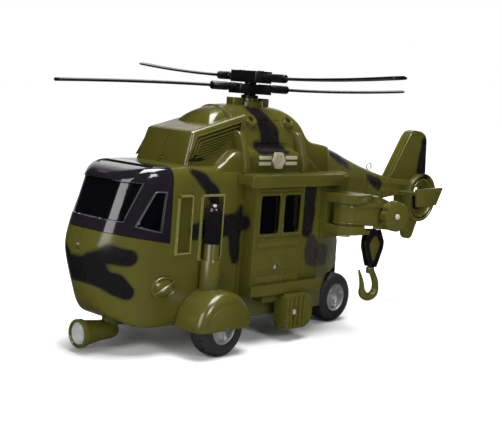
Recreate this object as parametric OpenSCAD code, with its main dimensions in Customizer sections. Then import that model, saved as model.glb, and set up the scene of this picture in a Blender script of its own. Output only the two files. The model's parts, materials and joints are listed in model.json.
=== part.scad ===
// Toy helicopter with friction motor, sliding doors and a swinging crane.
// Frame: nose towards -Y, port side +X, up +Z, wheels on z = 0.

/* [Part] */
// Which sub-part is drawn

/* [Body] */
// Wall of the moulded shells
wall = 1.8; // [1.2:0.1:2.6]
// Half width of the cab
cab_hw = 30; // [27:0.5:33]
// Half width of the middle body
mid_hw = 38; // [34:0.5:41]
// Height of the roof line
roof_z = 104; // [100:0.5:108]
// Height of the middle body's roof
mid_roof = 99.4; // [98:0.2:101]
// Height of the middle body's sill
sill_z = 29; // [27:0.5:32]
// Line where the cab meets the middle body
seam_y = -72; // [-76:1:-68]

/* [Wheels] */
// Tyre radius
tyre_r = 16; // [14:0.5:17]
// Tyre width
tyre_w = 12; // [10:0.5:12]
// Rim radius
rim_r = 9; // [8:0.25:10]
// Outer face of the front wheels
front_x = 47.5; // [47:0.25:47.5]
// Outer face of the rear wheels
rear_x = 24.5; // [24:0.25:26]
// Front axle station
front_y = -96.5; // [-98:0.5:-95]
// Rear axle station
rear_y = 28.5; // [28:0.5:29]
// Axle radius
axle_r = 1.5; // [1.2:0.1:1.8]

/* [Rotor] */
// Rotor radius
rotor_r = 127.8; // [110:0.5:128]
// Mast station
mast_y = -40.5; // [-42:0.5:-39]
// Mast radius
mast_r = 3.6; // [3:0.1:4]
// Height of the lower pair of blades
lower_z = 147.8; // [147:0.1:149]
// Height of the upper pair of blades
upper_z = 154.2; // [154:0.1:156]
// Blade chord
chord = 10.5; // [8:0.5:13]
// Blade thickness
blade_t = 1.4; // [1:0.1:2]
// Rise of a blade's tip above its root
tip_rise = 4.6; // [2:0.1:7]
// Turn of the blade cross from the row axes
rotor_turn = -9.7; // [-20:0.1:0]

/* [Tail] */
// Fan shroud centre station
fan_y = 144.9; // [143:0.1:147]
// Fan shroud centre height
fan_z = 76; // [75:0.5:77]
// Fan shroud outer radius
shroud_r = 17.9; // [16:0.1:19]
// Fan radius
fan_r = 12.2; // [10:0.1:12.4]

/* [Crane] */
// Crane pivot distance from the middle plane
crane_x = 49; // [48:0.5:50]
// Crane pivot station
crane_y = 1; // [0:0.5:2]
// Swing of the arm outboard at rest
crane_swing = 14; // [10:1:18]
// Distance from pivot to reel axle
reel_s = 27; // [26:0.5:28]
// Distance from pivot to the cord
cord_s = 22.45; // [22:0.05:23]

/* [Hidden] */
$fn = 64;
run = 0.06;             // radial running clearance of shafts
gap = 0.3;              // clearance between parts that move past each other
axle_z = tyre_r;        // height of both axles
sill_t = 2;             // thickness of the mid body's sill floor
bottom_z = 13;          // lowest point of the cab
cut = 300;              // size of the cutting blocks
canopy_back = -124;     // rear edge of the canopy
chin_z = 58;            // widest level of the nose
nose_lean = 19.2;       // lean of the nose above and below that level
nose_tip = -163.8;      // front of the nose on the widest level

row_shift = 1.97;       // brings the middle of the overall box to y = 0

function flip(rows) = [for (i = [len(rows) - 1 : -1 : 0]) [-rows[i][0], rows[i][1]]];
function inset(rows, t) = [for (r = rows) [r[0] + t * r[2], r[1] + t * r[3]]];

// every sub-part is drawn in the row frame
module in_row() {
  translate([0, row_shift, 0]) children();
}

module along_x(x0, x1) {
  translate([x0, 0, 0]) rotate([90, 0, 90]) linear_extrude(x1 - x0) children();
}

module along_y(y0, y1) {
  translate([0, y1, 0]) rotate([90, 0, 0]) linear_extrude(y1 - y0) children();
}

module block(x0, x1, y0, y1, z0, z1) {
  translate([x0, y0, z0]) cube([x1 - x0, y1 - y0, z1 - z0]);
}

module rod_x(x0, x1, y, z, r) {
  translate([x0, y, z]) rotate([0, 90, 0]) cylinder(h = x1 - x0, r = r);
}

module rrect(w, h, r) {
  square([w - 2 * r, h], center = true);
  square([w, h - 2 * r], center = true);
  for (sx = [-1, 1], sy = [-1, 1])
    translate([sx * (w / 2 - r), sy * (h / 2 - r)]) circle(r);
}

module port_half() {
  intersection() {
    children();
    block(0, cut, -cut, cut, -10, cut);
  }
}

module starboard_half() {
  intersection() {
    children();
    block(-cut, 0, -cut, cut, -10, cut);
  }
}

// ---- cab ----
// side profile of the cab: station, height, inset direction
cab_rows = [
  [-50, bottom_z, 0, 1],
  [-118, bottom_z, 0.1, 1],
  [-139.5, 17, 0.3, 1],
  [-151.5, 24, 0.7, 0.9],
  [-160.2, 36, 1, 0.4],
  [-164, 48, 1, 0.1],
  [-163.6, 58, 1, 0],
  [-159.8, 69.5, 1, -0.1],
  [-151, 94.5, 1, -0.6],
  [-147.5, 98.5, 0.8, -0.9],
  [-139, 101.6, 0.3, -1],
  [-126, roof_z - 0.2, 0.1, -1],
  [-110, roof_z, 0, -1],
  [-50, roof_z - 2.4, 0, -1]];

// half plan of the nose: half width, station, inset direction
nose_half = [
  [cab_hw, -40, -1, 0],
  [cab_hw, -132, -1, 0],
  [cab_hw - 0.8, -139, -1, 0.1],
  [cab_hw - 3.2, -147, -0.9, 0.4],
  [cab_hw - 8, -154.5, -0.7, 0.7],
  [cab_hw - 15, -160, -0.4, 1],
  [cab_hw - 23, -163.1, -0.2, 1]];

module nose_plan(t) {
  half = inset(nose_half, t);
  polygon(concat(half, flip(half)));
}

module cab_section(t) {
  top_r = 9 - t;
  low_r = 13 - t;
  hw = cab_hw - t;
  z0 = bottom_z + t;
  z1 = roof_z - t;
  translate([-hw, z0 + low_r]) square([2 * hw, z1 - top_r - z0 - low_r]);
  translate([-hw + top_r, z1 - 2 * top_r]) square([2 * (hw - top_r), 2 * top_r]);
  translate([-hw + low_r, z0]) square([2 * (hw - low_r), 2 * low_r]);
  for (s = [-1, 1]) {
    translate([s * (hw - top_r), z1 - top_r]) circle(top_r);
    translate([s * (hw - low_r), z0 + low_r]) circle(low_r);
  }
}

module leaning_plan(t, lean) {
  translate([0, nose_tip, chin_z]) rotate([lean, 0, 0])
    translate([0, -nose_tip, -120]) linear_extrude(240) nose_plan(t);
}

module cab_solid(t) {
  intersection() {
    along_x(-cab_hw + t, cab_hw - t) polygon(inset(cab_rows, t));
    along_y(-175, seam_y + (t > 0 ? 5 : 0)) cab_section(t);
    union() {
      intersection() {
        leaning_plan(t, -nose_lean);
        block(-40, 40, -175, -60, chin_z, 120);
      }
      intersection() {
        leaning_plan(t, nose_lean);
        block(-40, 40, -175, -60, 0, chin_z);
      }
    }
  }
}

module canopy_zone() {
  along_x(-45, 45) polygon([[-180, 72], [canopy_back, 62.4], [canopy_back, 120], [-180, 120]]);
}

module cab_window(y0, y1, z0, z1) {
  frame_w = 1.3;
  difference() {
    block(cab_hw - 0.2, cab_hw + 0.6, y0 - frame_w, y1 + frame_w, z0 - frame_w, z1 + frame_w);
    block(cab_hw - 1, cab_hw + 2, y0, y1, z0, z1);
  }
}

cab_windows = [[-119.6, -109, 56.8, 87.2], [-99.4, -87.2, 52.2, 87]];

module nose_half_shell() {
  difference() {
    union() {
      port_half() difference() {
        cab_solid(0);
        cab_solid(wall);
        canopy_zone();
      }
      for (w = cab_windows) cab_window(w[0], w[1], w[2], w[3]);
      // boss that the strut screws into
      translate([cab_hw - 6, front_y, 44]) rotate([0, 90, 0]) cylinder(h = 5, r = 3.4);
      // carrier for the front axle
      block(8, 12, front_y - 5, front_y + 5, bottom_z + 1, axle_z + 6);
    }
    for (w = cab_windows) block(cab_hw - 0.7, cab_hw + 1, w[0], w[1], w[2], w[3]);
    rod_x(-cut, cut, front_y, axle_z, axle_r + run);
    translate([0, neck_y, 0]) cylinder(h = 40, r = neck_r + run);
  }
  one_side_lamp();
}

module nose_shell_port() {
  color("olivedrab") in_row() nose_half_shell();
}

module nose_shell_starboard() {
  color("olivedrab") in_row() mirror([1, 0, 0]) nose_half_shell();
}

module canopy() {
  brow_t = 0.9;
  color("black") in_row() difference() {
    union() {
      intersection() {
        difference() {
          cab_solid(0);
          cab_solid(wall);
        }
        canopy_zone();
      }
      // brow over the windscreen
      intersection() {
        difference() {
          translate([0, -brow_t, 0]) cab_solid(0);
          cab_solid(wall);
        }
        block(-22, 22, -170, -120, 93.4, 97.2);
      }
    }
    // side panes
    for (s = [0, 1]) mirror([s, 0, 0])
      along_x(cab_hw - 3.4, 40) polygon([[-130, 69.6], [-143.5, 73], [-136.5, 90], [-130, 90]]);
    // roof panes
    for (s = [0, 1]) mirror([s, 0, 0])
      block(4, 19, -138, -127, roof_z - 2.9, 130);
  }
  color("black") in_row() for (s = [0, 1]) mirror([s, 0, 0]) intersection() {
    difference() {
      cab_solid(0.7);
      cab_solid(wall);
    }
    union() {
      along_x(cab_hw - 3.4, 40) polygon([[-130, 69.6], [-143.5, 73], [-136.5, 90], [-130, 90]]);
      block(4, 19, -138, -127, roof_z - 2.9, 130);
    }
  }
}

// ---- round lamp moulded on each side of the nose ----
lamp_y = -127;
lamp_z = 38.5;

module one_side_lamp() {
  difference() {
    translate([cab_hw - 1, lamp_y, lamp_z]) rotate([0, 90, 0])
      cylinder(h = 2.2, r1 = 5.4, r2 = 5);
    translate([cab_hw + 0.2, lamp_y, lamp_z]) rotate([35, 0, 0])
      block(0, 2, -7, 7, -1.6, 1.6);
  }
}

// ---- middle body ----
door_y0 = -68.8;        // front edge of a closed door
door_y1 = -26.8;        // rear edge of a closed door
door_z0 = 34;           // lower edge of the doors
door_z1 = 93;           // upper edge of the doors
lip = 0.25;             // clearance round a door in its slide-way
door_travel = 17.5;     // how far a door slides aft
door_in = mid_hw - 1.6; // inner face of the doors
door_out = mid_hw + 0.6;
mid_front = -69.4;      // front face of the wide part

upper_half = [
  [cab_hw, seam_y, -1, 0],
  [cab_hw, mid_front, -1, 0],
  [mid_hw, mid_front, -1, 1],
  [mid_hw, 14, -1, 0],
  [22.5, 24, -1, -0.5],
  [20.5, 30, -1, -1]];

lower_half = [
  [cab_hw, seam_y, -1, 0],
  [cab_hw, mid_front, -1, 0],
  [mid_hw, mid_front, -1, 1],
  [mid_hw, -12, -1, 0],
  [24, 21, -1, -0.3],
  [10.5, 43, -1, -1]];

mid_rows = [
  [seam_y, sill_z, 0, 1],
  [8, sill_z, 0, 1],
  [12, 34, 0, 1],
  [43, 34, -1, 1],
  [43.5, 50, -1, 0],
  [30, 61.5, -1, -0.4],
  [30, mid_roof, -1, -1],
  [seam_y, mid_roof, 0, -1]];

module mid_section(t) {
  hw = mid_hw - t;
  polygon([[-hw, sill_z - 1], [hw, sill_z - 1], [hw, 97 - t], [hw - 2.4, mid_roof - t],
           [-hw + 2.4, mid_roof - t], [-hw, 97 - t]]);
}

module mid_solid(t) {
  up = inset(upper_half, t);
  low = inset(lower_half, t);
  intersection() {
    along_x(-mid_hw, mid_hw) polygon(inset(mid_rows, t));
    along_y(-100, 60) mid_section(t);
    union() {
      translate([0, 0, 60]) linear_extrude(60) polygon(concat(up, flip(up)));
      translate([0, 0, 20]) linear_extrude(40) polygon(concat(low, flip(low)));
    }
  }
}

// hollow of the middle body, open towards the cab
module mid_hollow() {
  mid_solid(wall);
  block(-cab_hw + wall, cab_hw - wall, seam_y - 1, seam_y + 8, sill_z + wall, mid_roof - wall);
}

module mid_half_shell() {
  difference() {
    port_half() union() {
      difference() {
        mid_solid(0);
        mid_hollow();
      }
      // sill with a lip in front of the door's lower edge
      block(mid_hw - 1, mid_hw + 2, mid_front, -6, sill_z, door_z0 - lip);
      block(door_out + gap, mid_hw + 2, mid_front, -6, door_z0 - 1, door_z0 + 1.4);
      // wall behind the sliding door
      intersection() {
        mid_solid(0);
        block(mid_hw - 3.8, mid_hw - 1.8, mid_front, 0, sill_z, 99);
      }
    }
    // slide-way of the door
    block(door_in - lip, door_out + gap, door_y0 - lip, door_y1 + door_travel + lip, door_z0 - lip,
          door_z1 + lip);
    // doorway
    block(mid_hw - 6, door_out, -64.5, -31, 38, 90);
    // opening for the motor case
    block(-10.05, 10.05, 12, 44.1, 30, 40.05);
    // screw holes of the crane bracket
    for (z = [66.5, 85]) rod_x(mid_hw - 5, mid_hw + 3, 8, z, 1.2);
  }
}

module mid_shell_port() {
  color("olivedrab") in_row() mid_half_shell();
}

module mid_shell_starboard() {
  color("olivedrab") in_row() mirror([1, 0, 0]) mid_half_shell();
}

module floor_plate() {
  tub_hw = 27;
  color("darkolivegreen") in_row() difference() {
    union() {
      block(-tub_hw, tub_hw, seam_y + 0.1, 9, bottom_z + 0.5, bottom_z + 2.5);
      difference() {
        block(-tub_hw, tub_hw, seam_y + 0.1, 9, bottom_z + 0.5, sill_z - 0.05);
        block(-tub_hw + 2, tub_hw - 2, seam_y + 2.1, 7, bottom_z + 2.5, sill_z + 1);
      }
      // tongue under the cab
      block(-12, 12, seam_y - 8, seam_y + 1, bottom_z + wall, bottom_z + wall + 2);
    }
    // battery hatch
    block(-11.05, 11.05, -57.05, -12.95, bottom_z, bottom_z + 3);
  }
}

module one_door() {
  difference() {
    union() {
      block(door_in, door_out, door_y0, door_y1, door_z0, door_z1);
      // raised border round the two panes
      block(door_in, door_out + 0.5, door_y0 + 3.6, door_y0 + 21.8, 63.2, 89.4);
      block(door_in, door_out + 0.5, door_y0 + 23.4, door_y1 - 2.4, 63.2, 89.4);
      // raised lower panel
      block(door_in, door_out + 0.3, door_y0 + 2, door_y1 - 2.2, 36, 41.5);
    }
    for (w = pane_list)
      block(door_in - 1, door_out + 2, w[0], w[1], pane_z0, pane_z1);
    // grooves
    block(door_out - 0.4, door_out + 1, door_y0 + 2, door_y1 - 9, 57.2, 57.8);
    block(door_out - 0.4, door_out + 1, door_y0 + 2, door_y1 - 2.2, 60.4, 61);
    // screw recess
    rod_x(door_out - 1.1, door_out + 2, -48, 45, 1.7);
  }
}

pane_z0 = 65.2;
pane_z1 = 87.4;
pane_list = [[-63.2, -49], [-43.6, -31.2]];

module one_pane_pair() {
  pane_out = 0.3;
  for (w = pane_list)
    block(door_in + 0.2, door_out - pane_out, w[0], w[1], pane_z0, pane_z1);
}

module door_port() {
  color("olivedrab") in_row() one_door();
}

module door_starboard() {
  color("olivedrab") in_row() mirror([1, 0, 0]) one_door();
}

module door_panes_port() {
  color("black") in_row() one_pane_pair();
}

module door_panes_starboard() {
  color("black") in_row() mirror([1, 0, 0]) one_pane_pair();
}

module one_rail() {
  rail_z0 = 94;
  difference() {
    union() {
      block(mid_hw - 8, mid_hw + 4, -76, 5, rail_z0, mid_roof);
      // lip in front of the door's upper edge
      block(door_out + gap, mid_hw + 4, -76, 5, rail_z0 - 1.8, rail_z0);
    }
    mid_solid(0);
    block(0, cab_hw, -80, 10, 90, 110);
  }
}

module door_rails() {
  color("olivedrab") in_row() {
    one_rail();
    mirror([1, 0, 0]) one_rail();
  }
}

// ---- roof cowls ----
engine_rows = [
  [-88, mid_roof, 1, 0],
  [-88, 123.5, 1, -0.5],
  [-82, 130, 0.9, -0.7],
  [-75, 134.8, 0.5, -1],
  [-66, 137.6, 0.2, -1],
  [-54, 138.4, 0, -1],
  [-29, 138.4, 0, -1],
  [-15, 137.4, -0.2, -1],
  [-6.5, 135, -0.5, -1],
  [0.5, 130.5, -0.8, -0.7],
  [5.6, 124, -1, -0.5],
  [9.8, 115, -1, -0.3],
  [12.9, mid_roof, -1, 0]];

engine_half = [
  [26.4, mid_roof, -1, 0],
  [26.4, 104, -1, 0],
  [25.4, 110, -1, -0.2],
  [23.4, 116, -1, -0.3],
  [20.6, 122, -1, -0.5],
  [17, 128, -0.8, -0.7],
  [13, 133, -0.5, -0.9],
  [7.5, 137, -0.3, -1],
  [2, 138.6, 0, -1]];

module engine_solid(t) {
  half = inset(engine_half, t);
  intersection() {
    along_x(-28, 28) polygon(inset(engine_rows, t));
    along_y(-100, 20) polygon(concat(half, flip(half)));
  }
}

boss_list = [-51.5, -21.5];
boss_r = 4.6;

// place of a screw boss on the cowl's shoulder
module boss_at(y, side) {
  translate([side * 14.5, y, 121]) rotate([0, side * 50, 0]) children();
}

module engine_cowl() {
  color("olivedrab") in_row() difference() {
    union() {
      engine_solid(0);
      // screw bosses on the shoulders
      for (y = boss_list, s = [-1, 1])
        boss_at(y, s) cylinder(h = 12.4, r = boss_r);
      // small housings beside the mast
      block(-3.2, 3.2, -56.8, -49.6, 136, 141.4);
      translate([0, -28.4, 136]) cylinder(h = 5.6, r = 3.4);
      // collar that carries the mast
      translate([0, mast_y, 132]) cylinder(h = 9, r = 5.2);
      translate([0, mast_y, 136]) cylinder(h = 3.6, r = 7);
    }
    cab_solid(0);
    difference() {
      engine_solid(wall);
      translate([0, mast_y, 132]) cylinder(h = 9, r = 5.2);
      for (y = boss_list, s = [-1, 1])
        boss_at(y, s) cylinder(h = 12, r = boss_r);
    }
    for (y = boss_list, s = [-1, 1])
      boss_at(y, s) translate([0, 0, 9.6]) cylinder(h = 6, r = 1.8);
    // bore for the mast
    translate([0, mast_y, 130]) cylinder(h = 20, r = mast_r + run);
    translate([0, -28.4, 138.8]) cylinder(h = 6, r = 1.9);
  }
}

intake_rows = [
  [-111, roof_z - 1.5, 1, 0],
  [-103.4, 121, 0.9, -1],
  [-101, 122, 0, -1],
  [-60, 132.6, 0, -1],
  [-60, roof_z - 1.5, 0, 0]];

module intake_section(t) {
  polygon([[-21 + t, 100], [21 - t, 100], [18.6 - t, 120.6], [17 - t, 123 - t / 2],
           [14.5, 133], [-14.5, 133], [-17 + t, 123 - t / 2], [-18.6 + t, 120.6]]);
}

module intake_solid(t) {
  intersection() {
    along_x(-24, 24) polygon(inset(intake_rows, t));
    along_y(-120, -60) intake_section(t);
  }
}

module intake_cowl() {
  slats = 3;
  slat_pitch = 4.2;
  color("olivedrab") in_row() difference() {
    intake_solid(0);
    intake_solid(wall);
    engine_solid(0);
    cab_solid(0);
    // louvre slots on both sides
    for (i = [0 : slats - 1], s = [0, 1]) mirror([s, 0, 0])
      translate([0, -101 + i * slat_pitch, 107])
        rotate([-12, 0, 0]) block(18, 24, 0, 1.6, 0, 9.5 + 0.5 * i);
  }
}

rib_rows = [
  [9, 137.6],
  [17, 131.4],
  [22.5, 124.5],
  [26.6, 116],
  [28.8, 107],
  [29.8, mid_roof],
  [25, mid_roof],
  [24, 106],
  [20, 116],
  [12, 128]];

module roof_ribs() {
  color("olivedrab") in_row() for (y = [-70, -20], s = [0, 1]) mirror([s, 0, 0])
    difference() {
      along_y(y - 1.8, y + 1.8) polygon(rib_rows);
      engine_solid(0);
      for (b = boss_list) boss_at(b, 1) cylinder(h = 13, r = boss_r);
    }
}

module one_emblem() {
  disc_r = 5.4;
  x0 = 25;
  badge_z = 109.2;
  intersection() {
    difference() {
      union() {
        translate([x0 - 4, -38, badge_z]) rotate([0, 90, 0]) cylinder(h = 5.8, r = disc_r);
        block(x0 - 4, x0 + 0.6, -53, -23, badge_z - 3.8, badge_z + 4.6);
        for (s = [-1, 1], i = [0 : 2])
          block(x0 - 4, x0 + 1.2, -38 + s * 11.5 - 4.5, -38 + s * 11.5 + 4.5,
                badge_z - 3.6 + i * 3, badge_z - 1.6 + i * 3);
      }
      engine_solid(0);
    }
    block(0, x0 + 2, -60, -10, 100, 130);
  }
}

module emblems() {
  color("tan") in_row() {
    one_emblem();
    mirror([1, 0, 0]) one_emblem();
  }
}

// ---- tail ----
module boom_slice(y, w, z0, z1, r) {
  translate([0, y, (z0 + z1) / 2]) rotate([90, 0, 0]) linear_extrude(0.2) rrect(w, z1 - z0, r);
}

// slices: station, width, lower height, upper height, corner radius
slices = [
  [30.2, 40.6, 61.5, 113, 8],
  [66, 27, 72.5, 100.2, 6],
  [104, 15, 77.5, 91.6, 4],
  [134, 10, 78.5, 89.5, 3]];

module boom_run(t) {
  for (i = [0 : 2]) hull($fn = 32) {
    a = slices[i];
    b = slices[i + 1];
    boom_slice(a[0], a[1] - 2 * t, a[2] + t, a[3] - t, a[4] - t, $fn = 32);
    boom_slice(b[0], b[1] - 2 * t, b[2] + t, b[3] - t, b[4] - t, $fn = 32);
  }
}

module spine_block() {
  difference() {
    intersection() {
      along_x(-16, 16) polygon([[11, mid_roof], [31, mid_roof], [31, 112.6], [11, 117.6]]);
      along_y(10, 30) polygon([[-15, 90], [15, 90], [15, 108], [9, 115], [4, 117.4], [-4, 117.4],
                               [-9, 115], [-15, 108]]);
    }
    engine_solid(0);
  }
}

module fin_shape() {
  polygon([[104, 90], [124.8, 120.6], [128.4, 124], [133.5, 125.4], [142, 124.4], [147.4, 121.8],
           [149.2, 118], [151.6, 92], [150, 84], [118, 82]]);
}

module ventral_shape() {
  polygon([[124, 70], [134.4, 47], [138, 44.4], [142.2, 46.4], [151, 66]]);
}

module boom_all() {
  difference() {
    union() {
      boom_run(0);
      along_x(-3, 3) fin_shape();
      along_x(-2.5, 2.5) ventral_shape();
      rod_x(-7, 7, fan_y, fan_z, shroud_r);
    }
    boom_run(wall);
    rod_x(-20, 20, fan_y, fan_z, fan_r + 0.6);
    // seat of the stabiliser bar
    block(-20, 20, 113.95, 122.05, 79.95, 82.55);
    // seat of the wire loop
    translate([0, 85, 90]) cylinder(h = 10, r = 0.5);
  }
  // bearing spider of the fan
  difference() {
    union() {
      for (a = [90, 210, 330])
        translate([0, fan_y, fan_z]) rotate([a, 0, 0]) block(-6.4, -4.4, -1, 1, 0, fan_r + 1.2);
      rod_x(-6.4, -3.4, fan_y, fan_z, 3);
    }
    rod_x(-8, 0, fan_y, fan_z, 1 + run);
  }
  spine_block();
}

module tail_boom_port() {
  color("olivedrab") in_row() port_half() boom_all();
}

module tail_boom_starboard() {
  color("olivedrab") in_row() starboard_half() boom_all();
}

module tail_fan() {
  hub_r = 3.2;
  color("dimgray") in_row() {
    rod_x(-7.4, -1.5, fan_y, fan_z, 1);
    rod_x(-7.6, -6.7, fan_y, fan_z, 2);
    rod_x(-2.6, 3.4, fan_y, fan_z, hub_r);
    for (a = [0 : 72 : 288])
      translate([0, fan_y, fan_z]) rotate([a, 0, 0]) translate([0.4, 0, 0]) rotate([0, 0, 30])
        block(-0.5, 0.5, -2.4, 2.4, 2, fan_r - 0.6);
  }
}

module end_plate(x0) {
  along_x(x0, x0 + 1.8) polygon([[110, 72.8], [133.5, 73.5], [140.5, 86], [107, 85.4]]);
}

module stabiliser() {
  plate_x = 25;
  color("olivedrab") in_row() {
    block(-plate_x, plate_x, 114, 122, 80, 82.5);
    end_plate(plate_x);
    end_plate(-plate_x - 1.8);
  }
}

module tow_loop() {
  wire = 0.45;
  color("silver") in_row() {
    translate([0, 85, 99]) rotate([0, 90, 0]) rotate_extrude() translate([2.5, 0]) circle(wire);
    translate([0, 85, 90.5]) cylinder(h = 6, r = wire);
  }
}

// ---- front undercarriage ----
strut_x = 33.6;
strut_y = -97;

module one_strut() {
  difference() {
    union() {
      translate([strut_x, strut_y, 34]) cylinder(h = 19, r = 5.6);
      translate([strut_x, strut_y, 50]) cylinder(h = 12, r = 4.1);
    }
    block(0, cab_hw + 0.02, -110, -80, 0, 100);
    cab_window(-99.4, -87.2, 52.2, 87);
    fender_solid();
  }
}

module struts() {
  color("olivedrab") in_row() {
    one_strut();
    mirror([1, 0, 0]) one_strut();
  }
}

module one_cap() {
  cap_r = 4.6;
  difference() {
    union() {
      translate([strut_x, strut_y, 62]) cylinder(h = 17.5, r = cap_r);
      translate([strut_x, strut_y, 79.5]) sphere(cap_r);
    }
    block(0, cab_hw + 0.62, -110, -80, 0, 100);
    translate([strut_x, strut_y, 45]) cylinder(h = 17, r = 4.1);
  }
}

module strut_caps() {
  color("black") in_row() {
    one_cap();
    mirror([1, 0, 0]) one_cap();
  }
}

fender_r = 20.5;
fender_x = 50.3;

module fender_profile(r, x1, edge) {
  // radius along x, distance along the axle along y
  square([r - edge, x1]);
  square([r, x1 - edge]);
  translate([r - edge, x1 - edge]) circle(edge);
}

module fender_drum(r, x1, edge) {
  rotate([0, 90, 0]) rotate_extrude() intersection() {
    fender_profile(r, x1, edge);
    square([50, 50]);
  }
}

module fender_solid() {
  translate([cab_hw, front_y, axle_z]) fender_drum(fender_r, fender_x - cab_hw, 4);
}

module one_fender() {
  skin = 1.5;
  crest_w = 0.5;
  difference() {
    union() {
      intersection() {
        fender_solid();
        block(0, 80, -cut, 0, axle_z - 0.8, 80);
      }
      // raised crest on the outer face
      difference() {
        rod_x(fender_x - 1, fender_x + crest_w, front_y, axle_z, 16.4);
        block(0, 80, -cut, 0, -20, axle_z - 0.8);
      }
    }
    translate([cab_hw + skin, front_y, axle_z])
      fender_drum(fender_r - skin, fender_x - cab_hw - 2 * skin, 2.5);
    block(cab_hw + skin, fender_x - skin, front_y - 15.5, front_y + 15.5, axle_z - 5, axle_z);
    rod_x(0, cab_hw + 5, front_y, axle_z, axle_r + run);
  }
}

module fender_port() {
  color("olivedrab") in_row() one_fender();
}

module fender_starboard() {
  color("olivedrab") in_row() mirror([1, 0, 0]) one_fender();
}

// ---- wheels ----
module tyre(face) {
  grooves = 20;
  inner = face - tyre_w;
  translate([0, 0, axle_z]) difference() {
    rotate([0, 90, 0]) translate([0, 0, inner]) rotate_extrude()
      polygon([[rim_r, 0], [tyre_r - 2, 0], [tyre_r, 2.2], [tyre_r, tyre_w - 2.2],
               [tyre_r - 2, tyre_w], [rim_r, tyre_w]]);
    for (i = [0 : grooves - 1])
      rotate([(i + 0.5) * 360 / grooves, 0, 0]) {
        block(inner - 1, inner + 4.6, -0.55, 0.55, tyre_r - 0.9, tyre_r + 1);
        block(face - 4.6, face + 1, -0.55, 0.55, tyre_r - 0.9, tyre_r + 1);
      }
  }
}

module rim(face) {
  inner = face - tyre_w;
  lip = 0.7;
  translate([0, 0, axle_z]) {
    difference() {
      rod_x(inner, face, 0, 0, rim_r);
      rod_x(face - 4.5, face + 1, 0, 0, rim_r - lip);
      rod_x(inner - 1, face + 1, 0, 0, axle_r);
    }
    difference() {
      rod_x(face - 5, face - 0.6, 0, 0, 2.8);
      rod_x(face - 8, face + 1, 0, 0, axle_r);
    }
    for (a = [0, 120, 240]) rotate([a, 0, 0]) difference() {
      block(face - 5, face - 2, -1.3, 1.3, 0, rim_r - lip + 0.2);
      rod_x(face - 8, face + 1, 0, 0, 2.7);
    }
  }
}

module pair_at(y) {
  translate([0, y, 0]) {
    children();
    mirror([1, 0, 0]) children();
  }
}

module front_tyres() {
  color("dimgray") in_row() pair_at(front_y) tyre(front_x);
}

module front_rims() {
  color("silver") in_row() pair_at(front_y) rim(front_x);
}

module rear_tyres() {
  color("dimgray") in_row() pair_at(rear_y) tyre(rear_x);
}

module rear_rims() {
  color("silver") in_row() pair_at(rear_y) rim(rear_x);
}

module front_axle() {
  color("silver") in_row() rod_x(-front_x + 1, front_x - 1, front_y, axle_z, axle_r);
}

module rear_axle() {
  color("silver") in_row() rod_x(-rear_x + 1, rear_x - 1, rear_y, axle_z, axle_r);
}

// ---- friction motor ----
gear_m = 0.6;           // gear module
big_n = 24;             // teeth of the large gears
small_n = 10;           // teeth of the pinions
centre_d = gear_m * (big_n + small_n) / 2;
idler_a = 129.6;        // direction from the rear axle to the idler, from +Y
fly_a = 33.2;           // direction from the idler to the flywheel, from +Y
idler_y = rear_y + centre_d * cos(idler_a);
idler_z = axle_z + centre_d * sin(idler_a);
fly_y = idler_y + centre_d * cos(fly_a);
fly_z = idler_z + centre_d * sin(fly_a);

function tooth(n, i) =
  let(p = gear_m * n / 2, s = 360 / n, a = i * s)
  [[p - 0.72, a - 0.30 * s], [p, a - 0.205 * s], [p + 0.44, a - 0.10 * s],
   [p + 0.44, a + 0.10 * s], [p, a + 0.205 * s], [p - 0.72, a + 0.30 * s]];

module gear(n, x0, x1, turn) {
  pts = [for (i = [0 : n - 1], q = tooth(n, i)) [q[0] * cos(q[1] + turn), q[0] * sin(q[1] + turn)]];
  along_x(x0, x1) polygon(pts);
}

module axle_gear() {
  color("white") in_row() translate([0, rear_y, axle_z]) difference() {
    gear(big_n, -6, -3, idler_a);
    rod_x(-10, 10, 0, 0, axle_r);
  }
}

module idler_gear() {
  pitch = 360 / small_n;
  color("white") in_row() translate([0, idler_y, idler_z]) {
    gear(small_n, -6.2, -2.4, idler_a + 180 + pitch / 2);
    gear(big_n, -2.4, 0.6, fly_a);
    rod_x(-9.3, 9.3, 0, 0, 1);
  }
}

module flywheel() {
  pitch = 360 / small_n;
  color("silver") in_row() translate([0, fly_y, fly_z]) {
    gear(small_n, -2.6, 1.2, fly_a + 180 + pitch / 2);
    rod_x(1.2, 7.2, 0, 0, 8.6);
    rod_x(-9.3, 9.3, 0, 0, 1);
  }
}

module motor_case() {
  case_hw = 10;
  color("darkslategray") in_row() difference() {
    block(-case_hw, case_hw, 12.2, 44, 6.6, 40);
    block(-case_hw + 1.6, case_hw - 1.6, 13.8, 42.4, 8.2, 38.4);
    rod_x(-12, 12, rear_y, axle_z, axle_r + run);
    rod_x(-9.6, 9.6, idler_y, idler_z, 1 + run);
    rod_x(-9.6, 9.6, fly_y, fly_z, 1 + run);
  }
}

// ---- electrics ----
module battery_box() {
  color("dimgray") in_row() difference() {
    union() {
      block(-10, 10, -56, -14, 15.5, 27);
      block(-14, 14, -60, -10, 15.5, 17);
    }
    block(-8.6, 8.6, -54.6, -15.4, 15, 25.6);
  }
}

module battery_cover() {
  color("darkolivegreen") in_row() difference() {
    block(-11, 11, -57, -13, bottom_z + 0.5, bottom_z + 2.5);
    translate([0, -15.2, bottom_z - 1]) cylinder(h = 2.4, r = 1.9);
  }
}

module batteries() {
  cell_r = 5.8;
  color("silver") in_row() for (i = [0 : 2])
    translate([0, -48 + i * 12.4, 18]) cylinder(h = 5.4, r = cell_r);
}

module circuit_board() {
  color("green") in_row() block(-13, 13, -126, -102, 20.25, 21.45);
}

module speaker() {
  color("black") in_row() translate([0, -112, bottom_z + wall + 0.95]) cylinder(h = 4.5, r = 9.6);
}

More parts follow.
